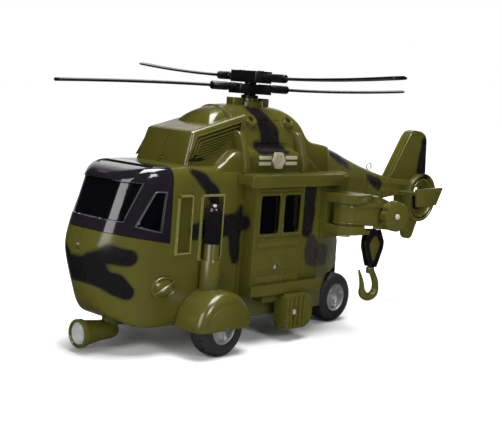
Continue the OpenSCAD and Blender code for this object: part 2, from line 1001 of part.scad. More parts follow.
// ---- searchlight ----
neck_r = 4.2;
neck_y = -138.5;
beam_z = 10.9;
lens_y = -160.2;

module searchlight_cup() {
  color("olivedrab") in_row() difference() {
    union() {
      translate([0, lens_y + 21.7, beam_z]) rotate([90, 0, 0]) cylinder(h = 21.2, r1 = 5.4, r2 = 7.9);
      translate([0, lens_y + 21.7, beam_z]) sphere(5.4);
      translate([0, neck_y, beam_z]) cylinder(h = 9.1, r = neck_r);
      // retaining disc inside the nose
      translate([0, neck_y, beam_z + 9]) cylinder(h = 5, r = neck_r);
      translate([0, neck_y, beam_z + 12.6]) cylinder(h = 1.6, r = neck_r + 1.4);
    }
    translate([0, lens_y + 8, beam_z]) rotate([90, 0, 0]) cylinder(h = 9, r1 = 4, r2 = 6.6);
  }
}

module lamp_reflector() {
  color("silver") in_row() difference() {
    translate([0, lens_y + 8, beam_z]) rotate([90, 0, 0]) cylinder(h = 6.8, r1 = 3.9, r2 = 5.8);
    translate([0, lens_y + 7.2, beam_z]) rotate([90, 0, 0]) cylinder(h = 6.3, r1 = 2.6, r2 = 5.3);
  }
}

module lamp_lens() {
  color("lightcyan") in_row() difference() {
    translate([0, lens_y + 1.1, beam_z]) rotate([90, 0, 0]) cylinder(h = 1.4, r = 5.9);
    translate([0, lens_y + 1.2, beam_z]) rotate([90, 0, 0]) cylinder(h = 0.5, r = 5.2);
  }
}

// ---- step pods ----
pod_y = -38;
pod_z = 18.2;

module one_pod() {
  pod_l = 40;
  pod_h = 21;
  ridge_t = 0.9;
  difference() {
    union() {
      along_x(mid_hw + 1, mid_hw + 6.4) translate([pod_y, pod_z]) rrect(pod_l, pod_h, 10.2);
      for (i = [0 : 2])
        along_x(mid_hw + 6.3, mid_hw + 6.4 + ridge_t)
          translate([pod_y + (i - 1) * 4.6, pod_z]) square([2, pod_h - 1.6], center = true);
      // bracket to the floor
      block(26.9, mid_hw + 2, -52, -27, 23.6, 27.4);
    }
    block(0, 27, -60, -20, 0, 40);
    rod_x(mid_hw + 5, mid_hw + 9, pod_y, pod_z, 1.9);
  }
}

module step_pods() {
  color("olivedrab") in_row() {
    one_pod();
    mirror([1, 0, 0]) one_pod();
  }
}

module screw_head_x(x, y, z) {
  difference() {
    rod_x(x, x + 1, y, z, 1.6);
    block(x + 0.5, x + 2, y - 1.3, y + 1.3, z - 0.25, z + 0.25);
    block(x + 0.5, x + 2, y - 0.25, y + 0.25, z - 1.3, z + 1.3);
  }
}

module case_screws() {
  color("silver") in_row() {
    screw_head_x(mid_hw + 5, pod_y, pod_z);
    mirror([1, 0, 0]) screw_head_x(mid_hw + 5, pod_y, pod_z);
    for (y = boss_list, s = [-1, 1])
      boss_at(y, s) translate([0, 0, 9.6]) cylinder(h = 1, r = 1.7);
    translate([0, -15.2, bottom_z + 0.4]) cylinder(h = 1, r = 1.7);
  }
}

// ---- crane ----
arm_z0 = 69.8;
arm_z1 = 82.8;
arm_hw = 8;
plate_back = 12.5;
arm_end = 33;

module at_pivot() {
  translate([crane_x, crane_y, 0]) rotate([0, 0, -crane_swing]) children();
}

module plate_2d() {
  // plate of the bracket seen from above
  difference() {
    union() {
      translate([crane_x, crane_y]) circle(9.5);
      translate([crane_x - 2, crane_y]) square([11.5, plate_back]);
      translate([mid_hw - 0.98, crane_y - 9.5]) square([crane_x - mid_hw + 1, plate_back + 9.5]);
    }
    translate([crane_x, crane_y]) circle(2 + run);
  }
}

module crane_bracket() {
  top_z = 88.4;
  low_z = 64;
  color("olivedrab") in_row() difference() {
    union() {
      translate([0, 0, arm_z1 + gap]) linear_extrude(top_z - arm_z1 - gap) plate_2d();
      translate([0, 0, low_z]) linear_extrude(arm_z0 - gap - low_z) plate_2d();
      block(mid_hw, mid_hw + 2, crane_y - 9.5, crane_y + plate_back, low_z, top_z);
    }
    block(0, mid_hw + 0.02, -20, 30, 60, 100);
    // slot in the top plate
    block(crane_x - 8, crane_x - 4, crane_y - 5, crane_y + 8, top_z - 1.2, top_z + 1);
    // notches for the arm's stop
    block(crane_x + 5, crane_x + 12, crane_y + 7, crane_y + 14, arm_z1 - 1, arm_z1 + 3);
    block(crane_x + 5, crane_x + 12, crane_y + 7, crane_y + 14, arm_z0 - 3.4, arm_z0 + 1);
  }
}

module crane_pin() {
  color("silver") in_row() translate([crane_x, crane_y, 62.8]) {
    cylinder(h = 24.8, r = 2);
    translate([0, 0, -0.8]) cylinder(h = 1.9, r = 3.2);
  }
}

module crane_arm() {
  cheek = 2.2;
  mid_z = (arm_z0 + arm_z1) / 2;
  color("olivedrab") in_row() at_pivot() difference() {
    union() {
      translate([0, 0, arm_z0]) linear_extrude(arm_z1 - arm_z0) {
        circle(arm_hw);
        translate([-arm_hw, 0]) square([2 * arm_hw, arm_end]);
      }
      // deeper end around the reel
      along_x(-arm_hw, arm_hw) polygon([[16.4, arm_z0], [19, arm_z0 - 2.4], [30, arm_z0 - 3],
                                        [36, arm_z0 + 1], [37, arm_z1 - 4], [34, arm_z1],
                                        [16.4, arm_z1]]);
      // sloped cover
      along_x(-5.5, 5.5) polygon([[16.6, arm_z1 - 0.1], [17.6, arm_z1 + 4.2], [20, arm_z1 + 4.6],
                                  [33, arm_z1 - 0.1]]);
    }
    translate([0, 0, 60]) cylinder(h = 30, r = 2 + run);
    // reel bay
    block(-arm_hw + cheek, arm_hw - cheek, 16.8, 40, arm_z0 - 4, arm_z1 - 1.6);
    rod_x(-20, 20, reel_s, mid_z, 1.6 + run);
  }
}

reel_z = (arm_z0 + arm_z1) / 2;
drum_r = 4;             // radius that the cord winds on

module winch_reel() {
  color("black") in_row() at_pivot() {
    rod_x(-8.4, 13.4, reel_s, reel_z, 1.6);
    rod_x(-5.5, -4.4, reel_s, reel_z, 4.6);
    rod_x(4.4, 5.5, reel_s, reel_z, 4.6);
    rod_x(-4.5, 4.5, reel_s, reel_z, drum_r);
    // dark flange behind the knob
    difference() {
      rod_x(arm_hw + gap, arm_hw + 2.2, reel_s, reel_z, 8.2);
      rod_x(0, 20, reel_s, reel_z, 1.5);
    }
  }
}

module winch_knob() {
  knob_r = 9.4;
  color("olivedrab") in_row() at_pivot() translate([arm_hw + 2.2, reel_s, reel_z]) difference() {
    rod_x(0, 6, 0, 0, knob_r);
    for (i = [0 : 7]) rotate([i * 45 + 22.5, 0, 0])
      rod_x(-1, 7, 0, knob_r + 1.9, 3);
    rod_x(4.6, 7, 0, 0, 2.2);
    rod_x(-1, 3.2, 0, 0, 1.6);
  }
}

module knob_screw() {
  color("silver") in_row() at_pivot() translate([arm_hw + 6.8, reel_s, reel_z]) screw_head_x(0, 0, 0);
}

cord_end = 65.8;        // where the cord is tied to the hook block

module winch_cord() {
  cord_r = 0.55;
  color("black") in_row() at_pivot() translate([0, cord_s, cord_end])
    cylinder(h = reel_z - cord_end, r = cord_r);
}

module hook_block() {
  // two cheeks with a bridge at each end
  color("black") in_row() at_pivot() translate([0, cord_s, 0]) {
    for (s = [-1, 1]) along_x(s * 2.3 - 0.6, s * 2.3 + 0.6)
      polygon([[-3, 66], [3, 66], [6.8, 59], [6.8, 55], [2.6, 42.6], [-2.6, 42.6], [-6.8, 55], [-6.8, 59]]);
    block(-1.8, 1.8, -2.4, 2.4, 62.6, cord_end);
    difference() {
      block(-1.8, 1.8, -2.4, 2.4, 42.8, 46.6);
      translate([0, 0, 40]) cylinder(h = 10, r = 1.1 + run);
    }
  }
}

module hook() {
  bend = 6;
  rod_r = 1.9;
  hook_z = 27.5;
  color("olivedrab") in_row() at_pivot() translate([0, cord_s, 0]) {
    translate([0, 0, 40]) cylinder(h = 5.5, r = 1.1);
    translate([0, 0, 46.9]) cylinder(h = 1, r = 1.5);
    translate([0, 0, 45.4]) cylinder(h = 1.7, r = 1.1);
    translate([0, 0, 38.6]) cylinder(h = 3.8, r = 2.3);
    // bow of the hook
    intersection() {
      translate([0, 0, hook_z]) rotate([0, 90, 0]) rotate_extrude() translate([bend, 0]) circle(rod_r);
      block(-5, 5, -10, 10, hook_z - 10, hook_z);
    }
    translate([0, bend, hook_z - 0.4]) cylinder(h = 7, r = rod_r - 0.1);
    translate([0, -bend, hook_z - 0.4]) cylinder(h = 6.4, r1 = rod_r - 0.1, r2 = 1.1);
    along_x(-1.5, 1.5) polygon([[-1.9, 39.4], [1.9, 40.6], [7.9, 34], [4.1, 33.2]]);
  }
}

// ---- rotor ----
module at_hub(turn) {
  translate([0, mast_y, 0]) rotate([0, 0, rotor_turn + turn]) children();
}

module rotor_mast() {
  color("black") in_row() translate([0, mast_y, 0]) {
    translate([0, 0, 126]) cylinder(h = 31, r = mast_r);
    translate([0, 0, 127]) cylinder(h = 2.5, r = 5.5);
    translate([0, 0, 141.3]) cylinder(h = 2, r = 5.2);
  }
}

module carrier_arm(x1, r) {
  rod_x(0, x1 * 0.62, 0, 0, r - 0.4);
  rod_x(x1 * 0.6, x1, 0, 0, r);
}

module lower_carrier() {
  color("black") in_row() at_hub(90) translate([0, 0, lower_z]) difference() {
    union() {
      block(-13, 13, -7, 7, -4, 2.4);
      for (s = [0, 1]) mirror([s, 0, 0]) carrier_arm(31, 2.9);
    }
    translate([0, 0, -10]) cylinder(h = 20, r = mast_r);
    for (s = [0, 1]) mirror([s, 0, 0]) blade_root();
  }
}

module upper_carrier() {
  color("black") in_row() at_hub(0) translate([0, 0, upper_z]) difference() {
    union() {
      block(-14, 14, -7, 7, -3.6, 4.4);
      for (s = [0, 1]) mirror([s, 0, 0]) carrier_arm(37.5, 2.9);
    }
    translate([0, 0, -10]) cylinder(h = 12.8, r = mast_r);
    for (s = [0, 1]) mirror([s, 0, 0]) translate([6.5, 0, 0]) blade_root();
  }
}

// socket for the blade's tongue
module blade_root() {
  block(25, 34, -2.2, 2.2, -blade_t / 2, blade_t / 2);
}

function rise(s, s0) = tip_rise * pow(max(0, (s - s0) / (rotor_r - s0)), 1.8);

module blade(s0) {
  steps = 10;
  half_t = blade_t / 2;
  top = [for (i = [0 : steps]) let(s = s0 + (rotor_r - s0) * i / steps) [s, rise(s, s0) + half_t]];
  low = [for (i = [steps : -1 : 0]) let(s = s0 + (rotor_r - s0) * i / steps) [s, rise(s, s0) - half_t]];
  difference() {
    intersection() {
      translate([0, 20, 0]) rotate([90, 0, 0]) linear_extrude(40) polygon(concat(top, low));
      translate([0, 0, -10]) linear_extrude(30) union() {
        polygon([[s0 - 1, -2.2], [s0 + 6, -2.2], [s0 + 12, -chord / 2], [rotor_r - 4, -chord / 2],
                 [rotor_r - 4, chord / 2], [s0 + 12, chord / 2], [s0 + 6, 2.2], [s0 - 1, 2.2]]);
        translate([rotor_r - 4, -chord / 2 + 4]) square([4, chord - 8]);
        for (s = [-1, 1]) translate([rotor_r - 4, s * (chord / 2 - 4)]) circle(4);
      }
    }
    block(0, s0, -20, 20, -5, 5);
  }
}

lower_s0 = 25;
upper_s0 = 31.5;

module blade_port() {
  color("black") in_row() at_hub(0) translate([0, 0, upper_z]) blade(upper_s0);
}

module blade_starboard() {
  color("black") in_row() at_hub(180) translate([0, 0, upper_z]) blade(upper_s0);
}

module blade_aft() {
  color("black") in_row() at_hub(90) translate([0, 0, lower_z]) blade(lower_s0);
}

module blade_fore() {
  color("black") in_row() at_hub(270) translate([0, 0, lower_z]) blade(lower_s0);
}

floor_plate();
nose_shell_port();
nose_shell_starboard();
canopy();
mid_shell_port();
mid_shell_starboard();
intake_cowl();
engine_cowl();
roof_ribs();
tail_boom_port();
tail_boom_starboard();
stabiliser();
tow_loop();
emblems();
struts();
strut_caps();
fender_port();
fender_starboard();
door_rails();
step_pods();
case_screws();
battery_box();
battery_cover();
batteries();
circuit_board();
speaker();
motor_case();
crane_bracket();
crane_pin();
front_axle();
rear_axle();
front_tyres();
front_rims();
rear_tyres();
rear_rims();
axle_gear();
idler_gear();
flywheel();
rotor_mast();
lower_carrier();
upper_carrier();
blade_port();
blade_starboard();
blade_fore();
blade_aft();
tail_fan();
door_port();
door_starboard();
door_panes_port();
door_panes_starboard();
crane_arm();
winch_reel();
winch_knob();
knob_screw();
winch_cord();
hook_block();
hook();
searchlight_cup();
lamp_reflector();
lamp_lens();
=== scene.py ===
"""Looks of the toy helicopter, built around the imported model. Lengths are in millimetres up to piece()."""

import json
import math

import bmesh
import bpy
import numpy as np
from mathutils import Matrix, Vector
from mathutils.geometry import tessellate_polygon


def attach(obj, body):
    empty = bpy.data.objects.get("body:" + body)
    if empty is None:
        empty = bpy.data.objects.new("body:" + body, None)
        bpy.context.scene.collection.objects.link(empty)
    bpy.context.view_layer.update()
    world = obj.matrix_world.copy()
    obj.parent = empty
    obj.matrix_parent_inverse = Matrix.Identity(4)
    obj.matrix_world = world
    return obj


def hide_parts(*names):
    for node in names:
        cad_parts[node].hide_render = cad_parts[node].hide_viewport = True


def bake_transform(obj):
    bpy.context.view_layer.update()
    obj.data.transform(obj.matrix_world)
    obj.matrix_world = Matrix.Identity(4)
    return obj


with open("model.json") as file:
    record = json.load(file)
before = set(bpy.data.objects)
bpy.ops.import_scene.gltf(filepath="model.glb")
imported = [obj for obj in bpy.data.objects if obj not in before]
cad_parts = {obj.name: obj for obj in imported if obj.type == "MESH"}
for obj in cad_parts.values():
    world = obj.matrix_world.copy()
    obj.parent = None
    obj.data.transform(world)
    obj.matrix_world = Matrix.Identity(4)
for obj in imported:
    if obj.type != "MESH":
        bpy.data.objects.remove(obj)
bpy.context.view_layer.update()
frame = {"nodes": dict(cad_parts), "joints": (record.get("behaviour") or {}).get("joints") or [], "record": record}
MM = 0.001
MIDDLE = Vector((0, 0, 0))
SIDES = ((1, "port"), (-1, "starboard"))
MAST_Y = -40.5


# ---------------------------------------------------------------- places taken from the frame
def joint_at(name):
    """Where a joint's axis is, in millimetres."""
    found = next(j for j in frame["joints"] if j["name"] == name)
    return Vector(found["pos_m"]) / MM


shift = joint_at("rotor_spin").y - MAST_Y  # from part.scad's stations to the frame


# ---------------------------------------------------------------- shader nodes
def node(tree, kind, inputs=None, **settings):
    """A shader node whose inputs are given as values or as sockets to link from."""
    made = tree.nodes.new(kind)
    for key, value in settings.items():
        setattr(made, key, value)
    for key, value in (inputs or {}).items():
        if isinstance(value, bpy.types.NodeSocket):
            tree.links.new(value, made.inputs[key])
        else:
            made.inputs[key].default_value = value
    return made


def calc(tree, operation, *values, clamp=False):
    return node(tree, "ShaderNodeMath", dict(enumerate(values)), operation=operation,
                use_clamp=clamp).outputs[0]


def vector_calc(tree, operation, *values, out="Vector"):
    return node(tree, "ShaderNodeVectorMath", dict(enumerate(values)), operation=operation).outputs[out]


def mix(tree, share, a, b):
    made = node(tree, "ShaderNodeMix", {0: share}, data_type="RGBA")
    for socket, value in ((made.inputs[6], a), (made.inputs[7], b)):
        if isinstance(value, bpy.types.NodeSocket):
            tree.links.new(value, socket)
        else:
            socket.default_value = (*value, 1)
    return made.outputs[2]


def noise(tree, at, scale, detail=3):
    return node(tree, "ShaderNodeTexNoise", {"Vector": at, "Scale": scale, "Detail": detail}).outputs["Fac"]


def spread(tree, value, low, high, to_low, to_high):
    """The value's range low...high mapped to another range and held inside it."""
    return node(tree, "ShaderNodeMapRange", {0: value, 1: low, 2: high, 3: to_low, 4: to_high}).outputs[0]


def new_material(name):
    """A material, its node tree, its shader and the place of the shaded point."""
    made = bpy.data.materials.new(name)
    made.use_nodes = True
    tree = made.node_tree
    return made, tree, tree.nodes["Principled BSDF"], node(tree, "ShaderNodeTexCoord").outputs["Object"]


def ripple_surface(tree, shader, strength, distance, height):
    raised = node(tree, "ShaderNodeBump", {"Strength": strength, "Distance": distance, "Height": height})
    tree.links.new(raised.outputs[0], shader.inputs["Normal"])


# ---------------------------------------------------------------- camera, light and floor
LOOK_WAY = (-0.68, 0.73)  # the way the camera looks, seen from above


def add_camera():
    """The camera from which the photo was taken, as fitted to the model."""
    azimuth, elevation, roll = (math.radians(a) for a in (43.22, 7.39, 4.27))
    back = Vector((math.sin(azimuth) * math.cos(elevation), -math.cos(azimuth) * math.cos(elevation),
                   math.sin(elevation)))
    right = Vector((math.cos(azimuth), math.sin(azimuth), 0))
    up = back.cross(right)
    image_x = right * math.cos(roll) + up * math.sin(roll)
    image_y = up * math.cos(roll) - right * math.sin(roll)
    data = bpy.data.cameras.new("camera")
    data.sensor_width = 36
    data.lens = 71.66
    data.clip_start = 0.01
    data.clip_end = 20
    camera = bpy.data.objects.new("camera", data)
    bpy.context.scene.collection.objects.link(camera)
    turn = Matrix((image_x, image_y, back)).transposed().to_4x4()
    camera.matrix_world = Matrix.Translation(Vector((420.7, -479.2 + shift, 149.3)) * MM) @ turn
    bpy.context.scene.camera = camera


def add_area(name, at, aim, size, power):
    data = bpy.data.lights.new(name, "AREA")
    data.shape = "RECTANGLE"
    data.size, data.size_y = size
    data.energy = power
    light = bpy.data.objects.new(name, data)
    bpy.context.scene.collection.objects.link(light)
    light.location = at
    light.rotation_mode = "QUATERNION"
    light.rotation_quaternion = (Vector(aim) - Vector(at)).to_track_quat("-Z", "Y")


def add_world():
    """A dim room with a white backdrop behind the object; the camera itself sees white all round."""
    world = bpy.data.worlds.new("studio")
    world.use_nodes = True
    tree = world.node_tree
    way = node(tree, "ShaderNodeTexCoord").outputs["Generated"]
    facing = vector_calc(tree, "DOT_PRODUCT", way, (*LOOK_WAY, -0.05), out="Value")
    room, backdrop = 0.02, 1
    ramp = node(tree, "ShaderNodeValToRGB", {0: facing})
    for element, position, grey in zip(ramp.color_ramp.elements, (0.7, 0.88), (room, backdrop)):
        element.position = position
        element.color = (grey, grey, grey, 1)
    height = node(tree, "ShaderNodeSeparateXYZ", {0: way}).outputs["Z"]
    above_horizon = spread(tree, height, -0.07, -0.03, 0.12, 1)
    seen = node(tree, "ShaderNodeLightPath").outputs["Is Camera Ray"]
    background = tree.nodes["Background"]
    tree.links.new(calc(tree, "MAXIMUM", above_horizon, seen), background.inputs["Strength"])
    tree.links.new(mix(tree, seen, ramp.outputs[0], (1, 1, 1)), background.inputs["Color"])
    bpy.context.scene.world = world


def add_floor():
    floor = bpy.data.meshes.new("floor")
    half = 6
    floor.from_pydata([(-half, -half, 0), (half, -half, 0), (half, half, 0), (-half, half, 0)], [],
                      [(0, 1, 2, 3)])
    surface, tree, shader, place = new_material("floor")
    for socket, value in (("Base Color", (0.95, 0.95, 0.95, 1)), ("Roughness", 0.7),
                          ("Specular IOR Level", 0.2), ("Emission Color", (1, 1, 1, 1))):
        shader.inputs[socket].default_value = value
    behind = vector_calc(tree, "DOT_PRODUCT", place, (*LOOK_WAY, 0), out="Value")
    away = vector_calc(tree, "LENGTH", place, out="Value")
    seen = node(tree, "ShaderNodeLightPath").outputs["Is Camera Ray"]
    reach = node(tree, "ShaderNodeMix", {0: seen, 2: behind, 3: away}).outputs[0]
    tree.links.new(spread(tree, reach, 0.25, 0.7, 0, 0.9), shader.inputs["Emission Strength"])
    floor.materials.append(surface)
    sheet = bpy.data.objects.new("floor", floor)
    bpy.context.scene.collection.objects.link(sheet)
    sheet.visible_glossy = False  # the body's sides mirror the dim room, not the bright floor


def add_studio():
    """Three soft lamps, the room and the white floor."""
    middle = (0, 0, 0.08)
    add_area("front_box", (0.2, -1.05, 0.47), (0.01, -0.14, 0.085), (0.62, 0.7), 5.6)
    add_area("overhead", (0.05, 0.05, 1.25), middle, (1.1, 0.7), 30)
    add_area("side_fill", (1.25, -0.3, 0.8), middle, (0.45, 0.45), 7)
    add_world()
    add_floor()
    bpy.context.scene.view_settings.view_transform = "Standard"


add_camera()
add_studio()


# ---------------------------------------------------------------- materials
def patch_share(tree, place, chains):
    """0 off and 1 on soft-edged patches round chains of (x, y, z, radius), alike on both sides."""
    split = node(tree, "ShaderNodeSeparateXYZ", {0: place})
    side = calc(tree, "ABSOLUTE", split.outputs["X"])
    folded = node(tree, "ShaderNodeCombineXYZ",
                  {0: side, 1: split.outputs["Y"], 2: split.outputs["Z"]}).outputs[0]
    total = None
    for chain in chains:
        for (xa, ya, za, ra), (xb, yb, zb, rb) in zip(chain, chain[1:]):
            a = Vector((xa, ya + shift, za)) * MM
            along_ab = Vector((xb, yb + shift, zb)) * MM - a
            from_a = vector_calc(tree, "SUBTRACT", folded, a)
            dot = vector_calc(tree, "DOT_PRODUCT", from_a, along_ab, out="Value")
            share = calc(tree, "DIVIDE", dot, along_ab.length_squared, clamp=True)
            on = node(tree, "ShaderNodeVectorMath", {0: along_ab, 3: share}, operation="SCALE").outputs[0]
            far = vector_calc(tree, "DISTANCE", from_a, on, out="Value")
            radius = calc(tree, "MULTIPLY_ADD", share, (rb - ra) * MM, ra * MM)
            gap = calc(tree, "SUBTRACT", far, radius)
            total = gap if total is None else calc(tree, "SMOOTH_MIN", total, gap, 3 * MM)
    wobble = calc(tree, "SUBTRACT", noise(tree, place, 70, 1), 0.5)
    total = calc(tree, "MULTIPLY_ADD", wobble, 4 * MM, total)
    return spread(tree, total, 1.1 * MM, -0.9 * MM, 0, 1)


OLIVE = (0.071, 0.067, 0.0095)
OLIVE_DARK = (0.055, 0.0525, 0.0072)
# Near-black of the camouflage patches, also the colour of the painted shade strip behind the door.
PATCH = (0.007, 0.006, 0.0065)
GREY_PATCH = (0.022, 0.021, 0.016)

# Camouflage patches, plus one dark strip on the middle shell behind the door that is painted shade of the recess
# there.
CAMO_AND_SHADE = [
    [(3, -160, 47, 8), (12, -159, 47, 8)],
    [(9, -159, 52, 6), (18, -156.5, 56.5, 4.6), (25.4, -148, 55.8, 4.6)],
    [(12, -158, 45, 6), (19, -152, 42, 5.4), (22, -147, 37, 4.2)],
    [(28.5, -109, 101, 3.2), (30, -102.7, 96, 4), (30, -95, 90, 4.2), (30, -91, 82, 4.5)],
    [(30, -106, 68, 4.5), (30, -88, 69.5, 5.5), (31, -74, 72, 5.8)],
    [(31, -74, 72, 5), (31, -72.4, 79, 2.6)],
    [(31, -76, 68, 4.5), (31, -74, 50, 3.6)],
    [(11, -49, 137, 4.5), (16, -45, 131, 6.5), (20, -43, 126, 8)],
    [(21, -42, 124, 8.5), (23.5, -43, 117, 8)],
    [(26, -55, 115, 4.5), (26.5, -34, 115, 4.5)],
    # Painted shade: dark strip in the recess behind the door, not a camouflage patch.
    [(38, -20, 93, 6), (38, -19.5, 66, 5.5)],
    [(3, 147, 117, 4), (3, 148, 108, 6), (3, 147, 96, 7)],
    [(15, 24.7, 112, 5), (17, 31, 109, 5), (17, 42, 103, 4)],
    [(12, 70, 93, 3), (11.5, 84, 88.5, 5)],
]
GREY_CAMO = [
    [(38, -15, 58, 5), (38, -13, 50, 7.5), (30, 6, 47, 7)],
]


def plastic(colour, dark, rough=0.24, coat=0.0, camo_and_shade=False, bump=0.05, gleam=0.5):
    """Moulded plastic: faint flow marks in the colour, uneven gloss and a fine surface ripple; with the patch flag
    also camouflage patches and one strip of painted shade.
    """
    def dress(tree, shader, place):
        tone = mix(tree, spread(tree, noise(tree, place, 38), 0.3, 0.7, 0, 1), dark, colour)
        gloss = spread(tree, noise(tree, place, 120, 4), 0.3, 0.7, rough - 0.05, rough + 0.06)
        # Camouflage patches and the painted shade strip behind the door.
        if camo_and_shade:
            for chains, paint_tone in ((GREY_CAMO, GREY_PATCH), (CAMO_AND_SHADE, PATCH)):
                share = patch_share(tree, place, chains)
                tone = mix(tree, share, tone, paint_tone)
                gloss = calc(tree, "MULTIPLY_ADD", share, 0.06, gloss)
        tree.links.new(tone, shader.inputs["Base Color"])
        tree.links.new(gloss, shader.inputs["Roughness"])
        grain, wave = noise(tree, place, 900, 2), noise(tree, place, 60, 1)
        ripple_surface(tree, shader, bump, 0.0002, calc(tree, "MULTIPLY_ADD", wave, 4.0, grain))
        shader.inputs["Specular IOR Level"].default_value = gleam
        shader.inputs["Coat Weight"].default_value = coat
        shader.inputs["Coat Roughness"].default_value = 0.06
    return dress


def metal(colour, rough=0.25, brushed=0.3, metallic=1.0):
    """Bright metal or metallised plastic with fine streaks."""
    def dress(tree, shader, place):
        streak = noise(tree, place, 700, 4)
        dimmer = tuple(c * 0.8 for c in colour)
        tree.links.new(mix(tree, streak, dimmer, colour), shader.inputs["Base Color"])
        tree.links.new(spread(tree, streak, 0.3, 0.7, rough, rough + 0.12), shader.inputs["Roughness"])
        ripple_surface(tree, shader, brushed, 0.00005, streak)
        shader.inputs["Metallic"].default_value = metallic
    return dress


def clear(tint):
    """Clear plastic with a faint unevenness."""
    def dress(tree, shader, place):
        haze = noise(tree, place, 300, 2)
        tree.links.new(mix(tree, haze, tint, (1, 1, 1)), shader.inputs["Base Color"])
        tree.links.new(spread(tree, haze, 0.3, 0.7, 0.03, 0.12), shader.inputs["Roughness"])
        ripple_surface(tree, shader, 0.1, 0.0001, haze)
        shader.inputs["Transmission Weight"].default_value = 0.92
        shader.inputs["IOR"].default_value = 1.46
    return dress


FINISHES = {
    "olive_gloss": plastic(OLIVE, OLIVE_DARK, rough=0.2, camo_and_shade=True, gleam=0.62),
    "olive_plain": plastic(OLIVE, OLIVE_DARK, rough=0.22, gleam=0.62),
    "olive_matte": plastic((0.075, 0.075, 0.014), (0.06, 0.062, 0.012), rough=0.5),
    # Lighter olive for the cab window frames: painted highlight where their raised edges catch the light.
    "olive_painted_highlight": plastic((0.15, 0.142, 0.04), (0.13, 0.123, 0.032), rough=0.22),
    # Darker olive for the front cab window's sunk panel: painted shade in the recess.
    "olive_painted_shade": plastic((0.05, 0.05, 0.006), (0.04, 0.04, 0.005), rough=0.2),
    "olive_shade": plastic((0.010, 0.010, 0.003), (0.007, 0.007, 0.002), rough=0.5, gleam=0.2),
    "black_gloss": plastic((0.007, 0.006, 0.008), (0.004, 0.004, 0.005), rough=0.14),
    "canopy_gloss": plastic((0.011, 0.009, 0.013), (0.007, 0.006, 0.009), rough=0.1, coat=0.5),
    # Lighter grey lines on the canopy's frames: painted highlight along the raised and sunk edges.
    "canopy_highlight_line": plastic((0.055, 0.053, 0.06), (0.042, 0.04, 0.047), rough=0.25),
    "pane_gloss": plastic((0.0012, 0.0012, 0.002), (0.0008, 0.0008, 0.0014), rough=0.08, gleam=0.8),
    "black_matte": plastic((0.006, 0.006, 0.0065), (0.003, 0.003, 0.0035), rough=0.3, gleam=0.35),
    "blade_black": plastic((0.006, 0.006, 0.0065), (0.003, 0.003, 0.0035), rough=0.25, gleam=0.3),
    "relief_beige": plastic((0.42, 0.39, 0.28), (0.34, 0.31, 0.22), rough=0.42),
    "tyre_black": plastic((0.022, 0.022, 0.024), (0.014, 0.014, 0.016), rough=0.62, bump=0.35),
    "rim_silver": metal((0.72, 0.72, 0.73), rough=0.3, brushed=0.08, metallic=0.75),
    "steel": metal((0.66, 0.66, 0.67), brushed=0.15, metallic=0.5),
    "gear_white": plastic((0.75, 0.74, 0.7), (0.68, 0.67, 0.62), rough=0.45),
    "board_green": plastic((0.03, 0.2, 0.06), (0.02, 0.15, 0.05), rough=0.4),
    "cord_black": plastic((0.015, 0.015, 0.015), (0.008, 0.008, 0.008), rough=0.8, bump=0.6),
    "lens_clear": clear((0.9, 0.93, 0.93)),
}
MATERIALS = {}
for finish_name, dress_shader in FINISHES.items():
    material, *parts = new_material(finish_name)
    dress_shader(*parts)
    MATERIALS[finish_name] = material
PLAIN_NODES = ("crane_arm", "crane_bracket", "hook", "winch_knob", "step_pods")


def dress_cad_nodes():
    """Every CAD node that stays in sight gets the material of its slot."""
    for row in frame["record"]["subparts"]:
        mesh = frame["nodes"][row["node"]].data
        plain = row["material_slot"] == "olive_gloss" and row["node"] in PLAIN_NODES
        mesh.materials.clear()
        mesh.materials.append(MATERIALS["olive_plain" if plain else row["material_slot"]])


dress_cad_nodes()


# ---------------------------------------------- mesh helpers, millimetres and part.scad's stations
def curve(points, steps=5):
    """Points along a smooth curve through the given ones."""
    rows = [Vector(p) for p in points]
    ends = [2 * rows[0] - rows[1], *rows, 2 * rows[-1] - rows[-2]]
    made = []
    for a, b, c, d in zip(ends, ends[1:], ends[2:], ends[3:]):
        for t in (i / steps for i in range(steps)):
            made.append(0.5 * (2 * b + (c - a) * t + (2 * a - 5 * b + 4 * c - d) * t * t
                               + (3 * b - a - 3 * c + d) * t ** 3))
    return made + [rows[-1]]


def rounded(corners, radius, steps=5):
    """A closed outline with round corners. radius is one number or one for each corner."""
    made = []
    count = len(corners)
    radii = radius if isinstance(radius, (list, tuple)) else [radius] * count
    for i in range(count):
        before, at, after = (Vector(corners[(i + k) % count]) for k in (-1, 0, 1))
        back, on = (before - at), (after - at)
        half = back.angle(on) / 2
        reach = min(radii[i] / math.tan(half), back.length * 0.49, on.length * 0.49)
        a, b = at + back.normalized() * reach, at + on.normalized() * reach
        for k in range(steps + 1):
            t = k / steps
            made.append(a * (1 - t) ** 2 + at * 2 * t * (1 - t) + b * t * t)
    return made


def turned(radius, angle):
    """A flat point at a radius and an angle in radians."""
    return radius * math.cos(angle), radius * math.sin(angle)


def circle_points(radius, count=32, at=(0, 0)):
    return [Vector(at) + Vector(turned(radius, 2 * math.pi * i / count)) for i in range(count)]


def box_outline(y0, y1, z0, z1, radius=0.0):
    corners = [(y0, z0), (y1, z0), (y1, z1), (y0, z1)]
    return rounded(corners, radius) if radius else [Vector(c) for c in corners]


PLACE = {"x": lambda a, b, c: (c, a, b), "y": lambda a, b, c: (a, c, b), "z": lambda a, b, c: (a, b, c)}


